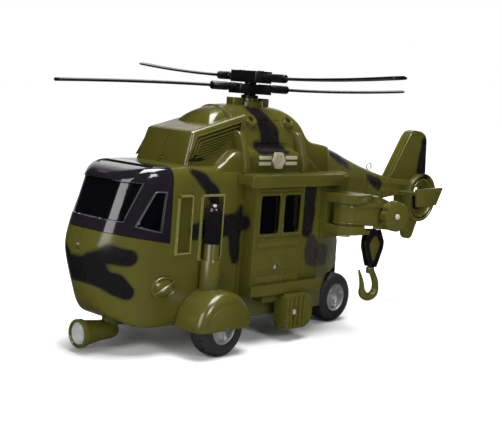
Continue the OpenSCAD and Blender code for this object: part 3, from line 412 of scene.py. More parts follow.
def plate(bm, outline, axis, low, high, holes=(), edge=0.0, segments=2, turn=None):
    """A plate of the outline between two heights on an axis, with holes and a rounded rim."""
    put = PLACE[axis]
    loops = [list(outline), *[list(h) for h in holes]]
    rings = [[[bm.verts.new(put(p[0], p[1], at)) for p in loop] for at in (low, high)] for loop in loops]
    flat = [v for pair in rings for v in pair[0]]
    lid = [v for pair in rings for v in pair[1]]
    made = []
    for tri in tessellate_polygon([[Vector((p[0], p[1], 0)) for p in loop] for loop in loops]):
        made.append(bm.faces.new([flat[i] for i in tri]))
        made.append(bm.faces.new([lid[i] for i in reversed(tri)]))
    for bottom, top in rings:
        count = len(bottom)
        for i in range(count):
            k = (i + 1) % count
            made.append(bm.faces.new((bottom[i], bottom[k], top[k], top[i])))
    bmesh.ops.recalc_face_normals(bm, faces=made)
    edges = {e for f in made for e in f.edges}
    if edge:
        rim = [e for e in edges if len(e.link_faces) == 2 and e.calc_face_angle(0) > 0.9
               and abs(e.verts[0].co[" xyz".index(axis) - 1] - e.verts[1].co[" xyz".index(axis) - 1]) < 1e-6]
        result = bmesh.ops.bevel(bm, geom=rim, offset=edge, segments=segments, profile=0.5, affect="EDGES",
                                 clamp_overlap=True)
        made = [f for f in made if f.is_valid] + result["faces"]
    verts = list({v for f in made if f.is_valid for v in f.verts})
    if turn is not None:
        bmesh.ops.transform(bm, matrix=turn, verts=verts)
    return verts


def side_plate(bm, outline, side, low, high, **more):
    """A plate across X on one side, between two distances from the middle plane."""
    x0, x1 = sorted((side * low, side * high))
    return plate(bm, outline, "x", x0, x1, **more)


def lathe(bm, profile, turn, sides=48, closed=False):
    """Spin (radius, height) points about Z and place the result; a closed profile gives a ring."""
    rings = []
    profile = [*profile, profile[0]] if closed else profile
    for radius, height in profile:
        if radius < 1e-6:
            rings.append([bm.verts.new((0, 0, height))])
        else:
            rings.append([bm.verts.new((*turned(radius, 2 * math.pi * i / sides), height))
                          for i in range(sides)])
    for a, b in zip(rings, rings[1:]):
        for i in range(sides):
            k = (i + 1) % sides
            corners = [a[i % len(a)], a[k % len(a)], b[k % len(b)], b[i % len(b)]]
            bm.faces.new(list(dict.fromkeys(corners)))
    for ring in (rings[0], rings[-1]):
        if len(ring) > 1 and not closed:
            bm.faces.new(ring)
    verts = [v for ring in rings for v in ring]
    bmesh.ops.transform(bm, matrix=turn, verts=verts)
    return verts


def half_turn(bm, profile, turn, sides=40):
    """Spin a closed (radius, height) outline half way round Z, from -X over +Y to +X."""
    loops = []
    for i in range(sides + 1):
        a = math.pi * i / sides
        loops.append([turn @ Vector((-r * math.cos(a), r * math.sin(a), h)) for r, h in profile])
    return loft(bm, loops)


def along_x(at, side=1):
    """Matrix that puts the origin at a place and lays the Z axis along X, to port (1) or starboard (-1)."""
    return Matrix.Translation(at) @ Matrix.Rotation(side * math.pi / 2, 4, "Y")


def loft(bm, loops, caps=True):
    """Join closed loops of as many points each into a skin."""
    rings = [[bm.verts.new(p) for p in loop] for loop in loops]
    for a, b in zip(rings, rings[1:]):
        for i in range(len(a)):
            k = (i + 1) % len(a)
            bm.faces.new((a[i], a[k], b[k], b[i]))
    if caps:
        bm.faces.new(rings[0])
        bm.faces.new(list(reversed(rings[-1])))
    return [v for ring in rings for v in ring]


def sweep(bm, path, radius, sides=10):
    """A round bar along a path; radius is a number or a function of the share of the way."""
    path = [Vector(p) for p in path]
    side = Vector((0, 0, 1)).cross(path[1] - path[0])
    side = side if side.length > 1e-3 else Vector((1, 0, 0))
    loops = []
    for i, p in enumerate(path):
        way = (path[min(i + 1, len(path) - 1)] - path[max(i - 1, 0)]).normalized()
        side = (side - way * side.dot(way)).normalized()
        other = way.cross(side)
        r = radius(i / (len(path) - 1)) if callable(radius) else radius
        loops.append([p + (side * math.cos(a) + other * math.sin(a)) * r
                      for a in (2 * math.pi * k / sides for k in range(sides))])
    return loft(bm, loops)


def soften(bm, width, segments=2, angle=30, only=None):
    """Round the sharp edges that only(edge) lets through."""
    bm.normal_update()
    sharp = [e for e in bm.edges if len(e.link_faces) == 2 and e.calc_face_angle(0) > math.radians(angle)
             and (only is None or only(e))]
    bmesh.ops.bevel(bm, geom=sharp, offset=width, segments=segments, profile=0.5, affect="EDGES",
                    clamp_overlap=True)


def from_cad(name):
    """The CAD node's own solid with its flat faces merged, in design millimetres."""
    bm = bmesh.new()
    bm.from_mesh(frame["nodes"][name].data)
    for v in bm.verts:
        v.co = v.co / MM - Vector((0, shift, 0))
    bmesh.ops.remove_doubles(bm, verts=bm.verts, dist=0.004)
    bmesh.ops.dissolve_limit(bm, angle_limit=math.radians(0.6), verts=bm.verts, edges=bm.edges)
    return bm


def middle(edge):
    return (edge.verts[0].co + edge.verts[1].co) / 2


def cut_along(bm, cuts, where):
    """Cut faces along planes, and draw near vertices onto the cuts so that no slivers are left."""
    sliver = 0.45
    on_cut = set()
    for point, normal in cuts:
        faces = [f for f in bm.faces if where(f.calc_center_median(), f.normal)]
        edges = {e for f in faces for e in f.edges}
        verts = {v for f in faces for v in f.verts}
        made = bmesh.ops.bisect_plane(bm, geom=[*faces, *edges, *verts], plane_co=point, plane_no=normal,
                                      dist=1e-3)
        on_cut.update(v for v in made["geom_cut"] if isinstance(v, bmesh.types.BMVert))
    welded = {}
    for vert in on_cut:
        for edge in vert.link_edges:
            other = edge.other_vert(vert)
            inner = other not in on_cut and len(other.link_edges) > 2 and not other.is_boundary
            if inner and edge.calc_length() < sliver:
                welded[other] = vert
    bmesh.ops.weld_verts(bm, targetmap=welded)
    bm.normal_update()


def emboss(bm, cuts, depth, where, slope=0.25):
    """Cut the skin along planes, then raise or sink the faces that lie behind all of them."""
    cut_along(bm, cuts, where)
    chosen = []
    for face in bm.faces:
        centre = face.calc_center_median()
        if where(centre, face.normal) and all((centre - Vector(p)).dot(Vector(n)) < 0 for p, n in cuts):
            chosen.append(face)
    if chosen:
        bmesh.ops.inset_region(bm, faces=chosen, thickness=slope, depth=depth, use_even_offset=False,
                               use_boundary=True)
        bm.normal_update()
    return chosen


def side_cuts(outline):
    """Planes along X through a convex outline of (y, z) points."""
    count = len(outline)
    middle_y = sum(p[0] for p in outline) / count
    middle_z = sum(p[1] for p in outline) / count
    cuts = []
    for i in range(count):
        (ya, za), (yb, zb) = outline[i], outline[(i + 1) % count]
        normal = Vector((0, zb - za, ya - yb)).normalized()
        if Vector((0, middle_y - ya, middle_z - za)).dot(normal) > 0:
            normal = -normal
        cuts.append((Vector((0, ya, za)), normal))
    return cuts


def shrunk(outline, by):
    """A convex (y, z) outline with every side moved inwards."""
    cuts = side_cuts(outline)
    made = []
    for (pa, na), (pb, nb) in zip([cuts[-1], *cuts], cuts):
        turn = Matrix(((na.y, na.z), (nb.y, nb.z)))
        aim = Vector((na.dot(pa) - by, nb.dot(pb) - by))
        made.append(tuple(turn.inverted() @ aim))
    return made


def on_side(y0, y1, z0, z1, x=15):
    """Limits emboss to outward faces in a box on both sides."""
    def inside(centre, normal):
        return abs(centre.x) > x and abs(normal.x) > 0.25 and y0 < centre.y < y1 and z0 < centre.z < z1
    return inside


def outline_gap(points):
    """Signed distance to a closed outline as a function of arrays, negative inside."""
    start = np.array([tuple(p)[:2] for p in points])
    way = np.roll(start, -1, 0) - start

    def gap(u, v):
        far = np.full(u.shape, 1e9)
        inside = np.zeros(u.shape, bool)
        for (au, av), (wu, wv) in zip(start, way):
            share = np.clip(((u - au) * wu + (v - av) * wv) / (wu * wu + wv * wv + 1e-12), 0, 1)
            far = np.minimum(far, np.hypot(u - au - share * wu, v - av - share * wv))
            crossed = (av > v) != (av + wv > v)
            inside ^= crossed & (u < au + (v - av) * wu / (wv if wv else 1e-9))
        return np.where(inside, -far, far)
    return gap


def both(a, b, blend):
    """Smooth intersection of two solids given as signed distances."""
    mixed = np.maximum(blend - np.abs(a - b), 0) / blend
    return np.maximum(a, b) + mixed * mixed * blend / 4


def either(a, b, blend):
    return -both(-a, -b, blend)


def wrap(gap, front, rear, mid_z, columns=180, cap_rows=30, step=2.0, rear_cap=True):
    """Mesh of the surface gap = 0, found along rays from a line on the middle plane."""
    angle = np.linspace(0, 2 * np.pi, columns, endpoint=False) + np.pi / columns
    ring = np.stack([np.sin(angle), np.zeros(columns), np.cos(angle)], 1)
    rows = []
    for i in range(1, cap_rows):
        tilt = math.pi / 2 * i / cap_rows
        rows.append((front, ring * math.sin(tilt) + np.array([0, -math.cos(tilt), 0])))
    for y in np.linspace(front, rear, max(2, round((rear - front) / step) + 1)):
        rows.append((y, ring))
    if rear_cap:
        for i in range(cap_rows - 1, 0, -1):
            tilt = math.pi / 2 * i / cap_rows
            rows.append((rear, ring * math.sin(tilt) + np.array([0, math.cos(tilt), 0])))
    poles = [(front, np.array([[0.0, -1, 0]]))]
    if rear_cap:
        poles.append((rear, np.array([[0.0, 1, 0]])))
    origins = np.concatenate([np.tile([0, y, mid_z], (len(d), 1)) for y, d in rows + poles])
    rays = np.concatenate([d for _, d in rows + poles])
    near, far = np.zeros(len(rays)), np.full(len(rays), 130.0)
    for _ in range(26):
        half = (near + far) / 2
        at = origins + rays * half[:, None]
        outside = gap(at[:, 0], at[:, 1], at[:, 2]) > 0
        far = np.where(outside, half, far)
        near = np.where(outside, near, half)
    points = origins + rays * near[:, None]
    bm = bmesh.new()
    verts = [bm.verts.new(p) for p in points]
    grid = [verts[i * columns:(i + 1) * columns] for i in range(len(rows))]
    for a, b in zip(grid, grid[1:]):
        for i in range(columns):
            k = (i + 1) % columns
            bm.faces.new((a[i], a[k], b[k], b[i]))
    tip = verts[len(rows) * columns]
    for i in range(columns):
        bm.faces.new((tip, grid[0][(i + 1) % columns], grid[0][i]))
    if rear_cap:
        tip = verts[len(rows) * columns + 1]
        for i in range(columns):
            bm.faces.new((tip, grid[-1][i], grid[-1][(i + 1) % columns]))
    bmesh.ops.recalc_face_normals(bm, faces=bm.faces)
    bm.normal_update()
    return bm


def cut_off(bm, point, normal):
    """Cut the skin with a plane and drop the side that the normal points to."""
    bmesh.ops.bisect_plane(bm, geom=[*bm.faces, *bm.edges, *bm.verts], plane_co=point, plane_no=normal,
                           clear_outer=True, dist=1e-3)


def thicken(bm, wall):
    """Give an open skin its wall: an inner copy along the normals and a rim between the two."""
    bm.normal_update()
    outer = list(bm.faces)
    twin = {v: bm.verts.new(v.co - v.normal * wall) for v in list(bm.verts)}
    rim = [e for e in bm.edges if len(e.link_faces) == 1]
    for face in outer:
        bm.faces.new([twin[v] for v in reversed(face.verts)])
    for edge in rim:
        a, b = edge.verts
        loop = edge.link_loops[0]
        a, b = (b, a) if loop.vert == a else (a, b)
        bm.faces.new((a, b, twin[b], twin[a]))


def doubled(bm):
    """Add the mirror image across the middle plane."""
    made = bmesh.ops.duplicate(bm, geom=[*bm.verts, *bm.edges, *bm.faces])["geom"]
    bmesh.ops.scale(bm, vec=(-1, 1, 1), verts=[g for g in made if isinstance(g, bmesh.types.BMVert)])
    bmesh.ops.reverse_faces(bm, faces=[g for g in made if isinstance(g, bmesh.types.BMFace)])


def mirrored(bm):
    other = bm.copy()
    bmesh.ops.scale(other, vec=(-1, 1, 1), verts=other.verts)
    bmesh.ops.reverse_faces(other, faces=other.faces)
    return other


def piece(name, bm, body, slot, *nodes, look=None, sharp=35):
    """Turn millimetre mesh code into a piece that rides on a body and stands for CAD nodes.

    look is the name of its material, or several that the faces pick from, if not the slot's own."""
    bmesh.ops.remove_doubles(bm, verts=bm.verts, dist=0.004)
    bmesh.ops.recalc_face_normals(bm, faces=bm.faces)
    for v in bm.verts:
        v.co = (v.co + Vector((0, shift, 0))) * MM
    for face in bm.faces:
        face.smooth = True
    for edge in bm.edges:
        edge.smooth = len(edge.link_faces) == 2 and edge.calc_face_angle(0) < math.radians(sharp)
    mesh = bpy.data.meshes.new(name)
    bm.to_mesh(mesh)
    bm.free()
    for look_name in (look,) if isinstance(look, str) else look or (slot,):
        mesh.materials.append(MATERIALS[look_name])
    made = bpy.data.objects.new(name, mesh)
    bpy.context.scene.collection.objects.link(made)
    if body:
        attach(made, body)
    if nodes:
        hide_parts(*nodes)
    return made


# ---------------------------------------------------------------- cab and canopy
CAB_HALF = 30
CAB_BOTTOM, CAB_TOP = 13, 104
SEAM_Y = -72
CHIN_Z = 58
WALL = 1.6
CAB_SIDE = [(-118, 13), (-139.5, 17), (-151.5, 24), (-160.2, 36), (-164, 48), (-163.6, 58), (-159.8, 69.5),
            (-151, 94.5), (-147.5, 98.5), (-139, 101.6), (-126, 103.8), (-110, 104)]
NOSE_PLAN = [(30, -132), (29.2, -139), (26.8, -147), (22, -154.5), (15, -160), (7, -163.1), (0, -163.8)]


def cab_gap():
    """The cab as a signed distance: outline from the side, leaning outline from above, round section."""
    side = outline_gap([(-40, 13), *curve(CAB_SIDE), (-40, 102)])
    half = [tuple(p) for p in curve(NOSE_PLAN)]
    plan = outline_gap([(30, -30), *half, *[(-x, y) for x, y in reversed(half[:-1])], (-30, -30)])
    lean = math.radians(19.2)
    tip_y = -163.8

    def gap(x, y, z):
        top = np.where(z > CHIN_Z, 9.0, 13.0)
        out_x = np.abs(x) - CAB_HALF + top
        out_z = np.abs(z - (CAB_BOTTOM + CAB_TOP) / 2) - (CAB_TOP - CAB_BOTTOM) / 2 + top
        section = (np.hypot(np.maximum(out_x, 0), np.maximum(out_z, 0))
                   + np.minimum(np.maximum(out_x, out_z), 0) - top)
        level = np.sqrt((z - CHIN_Z) ** 2 + 64) - 8
        leaned = tip_y + (y - tip_y) * math.cos(lean) - level * math.sin(lean)
        return both(both(side(y, z), plan(x, leaned), 4), section, 2.5)
    return gap


CANOPY_EDGE = (Vector((0, -124, 62.4)), Vector((0, 9.6, 56)).normalized())
CANOPY_REAR = (Vector((0, -124, 80)), Vector((0, 1, 0)))
CAB_WINDOWS = [[(-120.6, 55.5), (-109, 55.5), (-109, 88.4), (-120.2, 88.4)],
               [(-103.2, 51.3), (-85.4, 51.3), (-85.4, 88.2), (-103.2, 88.2)]]
SIDE_PANE = [(-135.2, 90.6), (-146.4, 71.6), (-130.4, 68.0), (-127.6, 90.4)]
FRAME_RISE = 0.9
PANE_LOOK, HIGHLIGHT_LINE_LOOK = 1, 2  # places in the canopy's row of materials
PLAIN_LOOK, HIGHLIGHT_LOOK, SHADE_LOOK = 0, 1, 2  # places in the nose shells' row of materials


def paint(bm, cuts, where, look):
    """Give the faces behind all the cuts another of the piece's materials."""
    for face in bm.faces:
        centre = face.calc_center_median()
        if where(centre, face.normal) and all((centre - p).dot(n) < 0 for p, n in cuts):
            face.material_index = look


def framed(bm, outline, width, rise, sink, limits):
    """A raised border with the panel inside it lower than the skin."""
    slope = 0.25
    emboss(bm, side_cuts(outline), rise, limits, slope)
    emboss(bm, side_cuts(shrunk(outline, width)), -rise - sink, limits, slope)


def side_lamp(bm, side):
    """Oval lamp dish moulded on the side of the nose, with a slanting bar across it."""
    mid_y, mid_z = -127, 38.5
    longer = Matrix.Diagonal((1, 1.4, 1, 1))
    at = Matrix.Translation((side * 29.7, mid_y, mid_z)) @ longer @ along_x(MIDDLE, side)
    lathe(bm, [(6.2, -1), (6.2, 0.5), (5.9, 0.9), (5.4, 1.0), (5.0, 0.7), (4.8, 0.3), (3.4, 1.5), (1.6, 2.1),
               (0, 2.2)], at, 40)
    bar = [(side * (30.4 + 1.5 * math.sin(math.pi * t)), mid_y + 13.4 * (t - 0.5), mid_z + 6.2 * (t - 0.5))
           for t in (i / 12 for i in range(13))]
    sweep(bm, bar, lambda t: 0.5 + 0.9 * math.sin(math.pi * t), 10)


def cab_skin():
    """Skin of the cab with its two framed windows on each side."""
    border = 1.3
    bm = wrap(cab_gap(), -136, SEAM_Y, CHIN_Z, columns=200, cap_rows=44, step=2.0, rear_cap=False)
    for outline in CAB_WINDOWS:
        ys, zs = [p[0] for p in outline], [p[1] for p in outline]
        near = on_side(min(ys) - 2, max(ys) + 2, min(zs) - 2, max(zs) + 2, 24)
        framed(bm, outline, border, FRAME_RISE, 0.7, near)
        # Frame ring in the lighter olive: painted highlight on its raised edges.
        paint(bm, side_cuts(outline), near, HIGHLIGHT_LOOK)
        # The front window's sunk panel gets painted shade; the other panel stays plain.
        panel_look = SHADE_LOOK if outline is CAB_WINDOWS[0] else PLAIN_LOOK
        paint(bm, side_cuts(shrunk(outline, border)), near, panel_look)
    return bm


def windscreen_cuts():
    """Planes round the sunk glass: sill, brow and the two posts."""
    low, high = Vector((20.6, -150.2, 73.6)), Vector((23.2, -140.3, 93.5))
    outward = Vector((0.72, -0.66, 0.2))
    post = (high - low).cross(outward).normalized()
    post = post if post.x > 0 else -post
    sill = (Vector((0, -160, 75.2)), Vector((0, -0.1, -1)).normalized())
    brow = (Vector((0, -151, 94.6)), Vector((0, 0.05, 1)).normalized())
    return [(low, post), (Vector((-low.x, low.y, low.z)), Vector((-post.x, post.y, post.z))), sill, brow]


def keep_only(bm, wanted):
    other = bm.copy()
    unwanted = [f for f in other.faces if not wanted(f.calc_center_median())]
    bmesh.ops.delete(other, geom=unwanted, context="FACES")
    return other


def part_seams(bm, planes):
    """Pull the open rim back from the seams a little, so that a thin dark line shows there."""
    for edge in bm.edges:
        if len(edge.link_faces) == 1:
            for v in edge.verts:
                v.tag = True
    for v in bm.verts:
        if v.tag:
            for point, normal in planes:
                away = (v.co - point).dot(normal)
                if abs(away) < 0.02:
                    v.co -= normal * 0.14
            v.tag = False


def bevel_rim(bm):
    """Round the outer edge of the rim that thicken made."""
    width = 0.3
    rim = [e for e in bm.edges if len(e.link_faces) == 2 and e.calc_face_angle(0) > 1.1 and e.tag]
    bmesh.ops.bevel(bm, geom=rim, offset=width, segments=2, profile=0.5, affect="EDGES", clamp_overlap=True)


def finish_shell(bm, planes):
    """Wall, seams and a rounded rim for an open skin."""
    part_seams(bm, planes)
    for edge in bm.edges:
        edge.tag = len(edge.link_faces) == 1
    thicken(bm, WALL)
    bevel_rim(bm)


def build_cab():
    """Cut the cab's skin into the black canopy and the two green nose shells."""
    skin = cab_skin()
    cut_along(skin, [CANOPY_EDGE, CANOPY_REAR, (MIDDLE, Vector((1, 0, 0)))], lambda c, n: True)

    def in_canopy(c):
        return (c - CANOPY_EDGE[0]).dot(CANOPY_EDGE[1]) > 0 and c.y < CANOPY_REAR[0].y
    glass = keep_only(skin, in_canopy)
    shell = keep_only(skin, lambda c: not in_canopy(c) and c.x > 0)
    skin.free()
    screen = windscreen_cuts()

    def on_front(c, n):
        return n.y < -0.3 and c.z < 98
    emboss(glass, screen, -0.7, on_front, slope=0.35)
    around = [(p + n * 0.4, n) for p, n in screen]
    cut_along(glass, around, on_front)
    on_pane = on_side(-150, -125, 64, 93, 18)
    framed(glass, SIDE_PANE, 0.8, 0.6, 0.6, on_pane)
    roof = [(-21, -130.5), (21, -130.5), (22.4, -133.5), (19, -138.8), (10, -141.8), (-10, -141.8),
            (-19, -138.8), (-22.4, -133.5)]
    cuts = [(Vector((p.z, p.y, 0)), Vector((n.z, n.y, 0)))
            for p, n in side_cuts([(y, x) for x, y in roof])]
    emboss(glass, cuts, -0.8, lambda c, n: n.z > 0.3 and c.y > -146, slope=0.4)
    # The thin strip round the sunk windscreen keeps the lighter grey: painted highlight along its edge.
    paint(glass, around, on_front, HIGHLIGHT_LINE_LOOK)
    paint(glass, screen, on_front, PANE_LOOK)
    # Side pane's frame ring in the lighter grey: painted highlight on its raised edges.
    paint(glass, side_cuts(SIDE_PANE), on_pane, HIGHLIGHT_LINE_LOOK)
    paint(glass, side_cuts(shrunk(SIDE_PANE, 0.8)), on_pane, PANE_LOOK)
    edge = (CANOPY_EDGE[0], -CANOPY_EDGE[1])
    finish_shell(glass, [edge, CANOPY_REAR])
    piece("canopy.shell", glass, "airframe", "black_gloss", "canopy",
          look=("canopy_gloss", "pane_gloss", "canopy_highlight_line"))
    finish_shell(shell, [CANOPY_EDGE, (CANOPY_REAR[0], -CANOPY_REAR[1]), (MIDDLE, Vector((-1, 0, 0)))])
    other = mirrored(shell)
    side_lamp(shell, 1)
    side_lamp(other, -1)
    looks = ("olive_gloss", "olive_painted_highlight", "olive_painted_shade")
    piece("nose.port", shell, "airframe", "olive_gloss", "nose_shell_port", look=looks)
    piece("nose.starboard", other, "airframe", "olive_gloss", "nose_shell_starboard", look=looks)


build_cab()


# ---------------------------------------------------------------- roof cowls
ROOF_Z = 99.4
ENGINE_SIDE = [(-86, 80), (-88, 110), (-88, 121.5), (-86.6, 126), (-82, 131), (-75, 135), (-66, 137.6),
               (-54, 138.4), (-40, 138.4), (-28, 137.8), (-20, 135.8), (-14, 131.8), (-10, 126.4),
               (-7.6, 120.4), (-3, 117.2), (5, 115.9), (12.4, 114.4), (12.9, 111), (13.5, 80)]
ENGINE_HALF = [(23.4, 80), (23.4, 104), (22.8, 112), (21.4, 118), (19.4, 123.4), (16.6, 128.6), (12.8, 133),
               (7.5, 137), (2, 138.5), (0, 138.6)]
BASE_SIDE = [(-94, 80), (-92, 99), (-86.5, 104.5), (-71, 113), (-33, 113.4), (-20, 110.8), (-9, 105.5),
             (0, 97), (4, 80)]
BASE_HALF = [(28.2, 80), (28, 108.6), (26.8, 111.6), (21, 114.4), (0, 115)]
BOSS_STATIONS = (-56.5, -24)
INTAKE_SIDE = [(-113.6, 90), (-103.4, 121.4), (-101.2, 122.3), (-60, 132.8), (-58, 90)]
INTAKE_FOOT, INTAKE_LEAN = 22.9, 0.106
INTAKE_HALF = [(INTAKE_FOOT, 90), (INTAKE_FOOT - 50 * INTAKE_LEAN, 140), (0, 140)]


def symmetric(half):
    points = [tuple(p) for p in half]
    return points + [(-x, z) for x, z in reversed(points) if x > 0]


def fair(gap_side, gap_section, blend):
    """Solid that has one outline from the side and another from ahead."""
    return lambda x, y, z: both(gap_side(y, z), gap_section(x, z), blend)


def skirt(bm):
    """Keep what is above the roof."""
    cut_off(bm, Vector((0, 0, ROOF_Z)), Vector((0, 0, -1)))


def engine_skin():
    """The dome over the engines, a little narrower at its front, on a low wide base."""
    full = fair(outline_gap(curve(ENGINE_SIDE)), outline_gap(symmetric(curve(ENGINE_HALF))), 4)

    def dome(x, y, z):
        narrower = 3.2 * np.clip((-70 - y) / 1.2, 0, 1)
        return full(np.abs(x) + narrower, y, z)
    base = fair(outline_gap(curve(BASE_SIDE, 4)), outline_gap(symmetric(BASE_HALF)), 2)
    bm = wrap(lambda x, y, z: either(dome(x, y, z), base(x, y, z), 1.5), -76, -8, 100, columns=220,
              cap_rows=30, step=1.6)
    skirt(bm)
    return bm


def boss_turn(y, side):
    return Matrix.Translation((side * 12.6, y, 125)) @ Matrix.Rotation(side * math.radians(50), 4, "Y")


def add_boss(bm, y, side):
    """Screw boss on the cowl's shoulder with a deep round well."""
    lathe(bm, [(4.4, -8), (4.4, 6.8), (4, 7.4), (2.3, 7.4), (2, 7.1), (2, -2), (0, -2)],
          boss_turn(y, side), 32)


def add_mast_seat(bm):
    """Collar of the mast, the ribbed housing in front of it and the round one behind it."""
    lathe(bm, [(8.4, 134), (8.2, 139.2), (7.6, 139.8), (5.4, 139.8), (5.2, 141.2), (4.8, 141.6),
               (3.8, 141.6), (3.7, 137)], Matrix.Translation((0, MAST_Y, 0)), 40)
    plate(bm, rounded(box_outline(-3.4, 3.4, -57, -49.4), 0.8, 3), "z", 134, 141.5, edge=0.5)
    for y in (-55.4, -53.2, -51):
        plate(bm, box_outline(-3.8, 3.8, y - 0.35, y + 0.35), "z", 136, 140.9)
    lathe(bm, [(3.6, 134), (3.6, 141.2), (3.2, 141.6), (2.2, 141.6), (1.9, 141.3), (1.9, 138.8), (0, 138.8)],
          Matrix.Translation((0, -28.4, 0)), 32)


def on_shoulder(y0, y1, z0, z1, x=6):
    def inside(centre, normal):
        return abs(centre.x) > x and y0 < centre.y < y1 and z0 < centre.z < z1
    return inside


def strip(p0, p1, width):
    """A thin four-cornered (y, z) outline round the line between two points."""
    a, b = Vector(p0), Vector(p1)
    off = Vector((a.y - b.y, b.x - a.x)).normalized() * width / 2
    return [tuple(a - off), tuple(b - off), tuple(b + off), tuple(a + off)]


def build_engine_cowl():
    """Engine cowl with its grooves, a raised band, four screw bosses and the mast's seat."""
    bm = engine_skin()
    groove = 0.5
    fore, aft, low, high = -52.4, -28, 116, 129.2
    for ends in (((fore, high), (aft, high)), ((fore, low), (aft, low)), ((fore, low), (fore, high))):
        emboss(bm, side_cuts(strip(*ends, groove)), -0.6, on_shoulder(-55, -24, 114, 132), 0.12)
    band_y = -70.6
    emboss(bm, side_cuts(strip((band_y, 99), (band_y, 140), 1.6)), 0.5, on_shoulder(-74, -67, 113, 140, 0),
           0.3)
    centre = [(Vector((s * groove / 2, 0, 0)), Vector((s, 0, 0))) for s in (-1, 1)]
    emboss(bm, [*centre, (Vector((0, -58, 0)), Vector((0, 1, 0)))], -0.5,
           lambda c, n: abs(c.x) < 4 and c.y < -54 and c.z > 116, 0.1)
    thicken(bm, WALL)
    for y in BOSS_STATIONS:
        for side in (-1, 1):
            add_boss(bm, y, side)
    add_mast_seat(bm)
    piece("roof.engine_cowl", bm, "airframe", "olive_gloss", "engine_cowl")


LOUVRE_PANEL = [(-109.3, 104.8), (-101.2, 119.6), (-65, 128.8), (-66, 121.5), (-97, 104.8)]
LOUVRE_FIELD = [(-102.3, 107.2), (-97.9, 115.3), (-65, 123.6), (-66, 121.5), (-92.5, 107.2)]


def wall_strip(bm, outline, low, high, edge=0.25):
    """A convex (y, z) outline on both leaning side walls of the intake, between two heights over them."""
    for side in (1, -1):
        for v in side_plate(bm, outline, side, low, high, edge=edge):
            v.co.x += side * (INTAKE_FOOT - (v.co.z - 90) * INTAKE_LEAN)


def overlap(a, b):
    """The part of the convex (y, z) outline a that lies inside the convex outline b."""
    made = [Vector(p) for p in a]
    for point, normal in side_cuts(b):
        kept = []
        for p, q in zip(made, made[1:] + made[:1]):
            gp = (p - point.yz).dot(normal.yz)
            gq = (q - point.yz).dot(normal.yz)
            if gp < 0:
                kept.append(p)
            if gp * gq < 0:
                kept.append(p + (q - p) * gp / (gp - gq))
        made = kept
    return made


def build_intake():
    """Sloping cowl in front of the engines, with stepped rims and slats on both walls."""
    gap = fair(outline_gap(INTAKE_SIDE), outline_gap(symmetric(INTAKE_HALF)), 2.6)
    bm = wrap(gap, -98, -61, 104, columns=280, cap_rows=60, step=0.9, rear_cap=False)
    skirt(bm)
    groove = 0.2
    emboss(bm, [(Vector((s * groove, 0, 0)), Vector((s, 0, 0))) for s in (-1, 1)], -0.6,
           lambda c, n: abs(c.x) < 4 and c.z > 104, 0.1)
    thicken(bm, WALL)
    for i in range(3):
        outer = [Vector(p) for p in shrunk(LOUVRE_PANEL, 0.2 + 1.9 * i)]
        inner = [Vector(p) for p in shrunk(LOUVRE_PANEL, 1.1 + 1.9 * i)]
        for k in (0, 1):
            wall_strip(bm, [outer[k], outer[k + 1], inner[k + 1], inner[k]], -0.4, 0.9)
    top_a, top_b = Vector(LOUVRE_PANEL[1]), Vector(LOUVRE_PANEL[2])
    way = (top_b - top_a).normalized()
    down = Vector((way.y, -way.x))
    first, pitch, width, long = 5.6, 1.4, 0.7, way * 60
    for i in range(7):
        a = top_a + down * (first + i * pitch)
        slat = overlap([a - long, a + long, a + long + down * width, a - long + down * width], LOUVRE_FIELD)
        if len(slat) > 2:
            wall_strip(bm, slat, -0.4, 0.8, 0.15)
    piece("roof.intake_cowl", bm, "airframe", "olive_gloss", "intake_cowl")
    # Near-black plate behind the slats: painted shade in the gaps between them.
    bm = bmesh.new()
    wall_strip(bm, shrunk(LOUVRE_PANEL, 0.7), -0.3, 0.2, 0.1)
    piece("roof.louvre_backs", bm, "airframe", "olive_matte", look="olive_shade")


RIB_OUTER = [(19.6, 123.4), (24, 122.2), (27.2, 118), (29.8, 111), (31.4, 104), (31.8, 99.4)]
RIB_INNER = [(24, 99.4), (23, 108), (19.6, 116), (17, 119)]


def build_ribs():
    bm = bmesh.new()
    outline = curve(RIB_OUTER) + curve(RIB_INNER)
    half = 1.9
    for side in (1, -1):
        for y in (-70.4, -20):
            plate(bm, [(side * p.x, p.y) for p in outline], "y", y - half, y + half, edge=0.6)
    piece("roof.ribs", bm, "airframe", "olive_gloss", "roof_ribs")


def build_badge():
    """Generic relief badge: a plain six-sided boss between two short straight bars on each side."""
    wall_x, mid_y, mid_z, hex_r = 25.9, -41.5, 106.4, 5.5
    for side, name in SIDES:
        bm = bmesh.new()
        hexagon = circle_points(hex_r, 6, (mid_y, mid_z))
        side_plate(bm, rounded(hexagon, 0.6, 3), side, wall_x, wall_x + 3.2,
                   holes=[circle_points(2.9, 24, (mid_y, mid_z))], edge=0.35)
        side_plate(bm, circle_points(3, 24, (mid_y, mid_z)), side, wall_x, wall_x + 2.6)
        for fore in (-1, 1):
            for level in (mid_z - 1.7, mid_z + 1.7):
                y_in, y_out = sorted((mid_y + fore * 6.4, mid_y + fore * 16.5))
                bar = box_outline(y_in, y_out, level - 1, level + 1)
                side_plate(bm, rounded(bar, 0.5, 3), side, wall_x, wall_x + 2.6, edge=0.35)
        piece(f"badge.{name}", bm, "airframe", "relief_beige", *(["emblems"] if side == 1 else []))


build_engine_cowl()
build_intake()
build_ribs()
build_badge()


# ---------------------------------------------------------------- middle body, doors and rail
MID_HALF = 38
DOOR = (-68.8, -26.8, 34, 93)
DOOR_IN, DOOR_OUT = 36.4, 38.3
PANES = [(-64.8, -48.4), (-44.6, -30.4)]
PANE_Z = (65.2, 87.4)


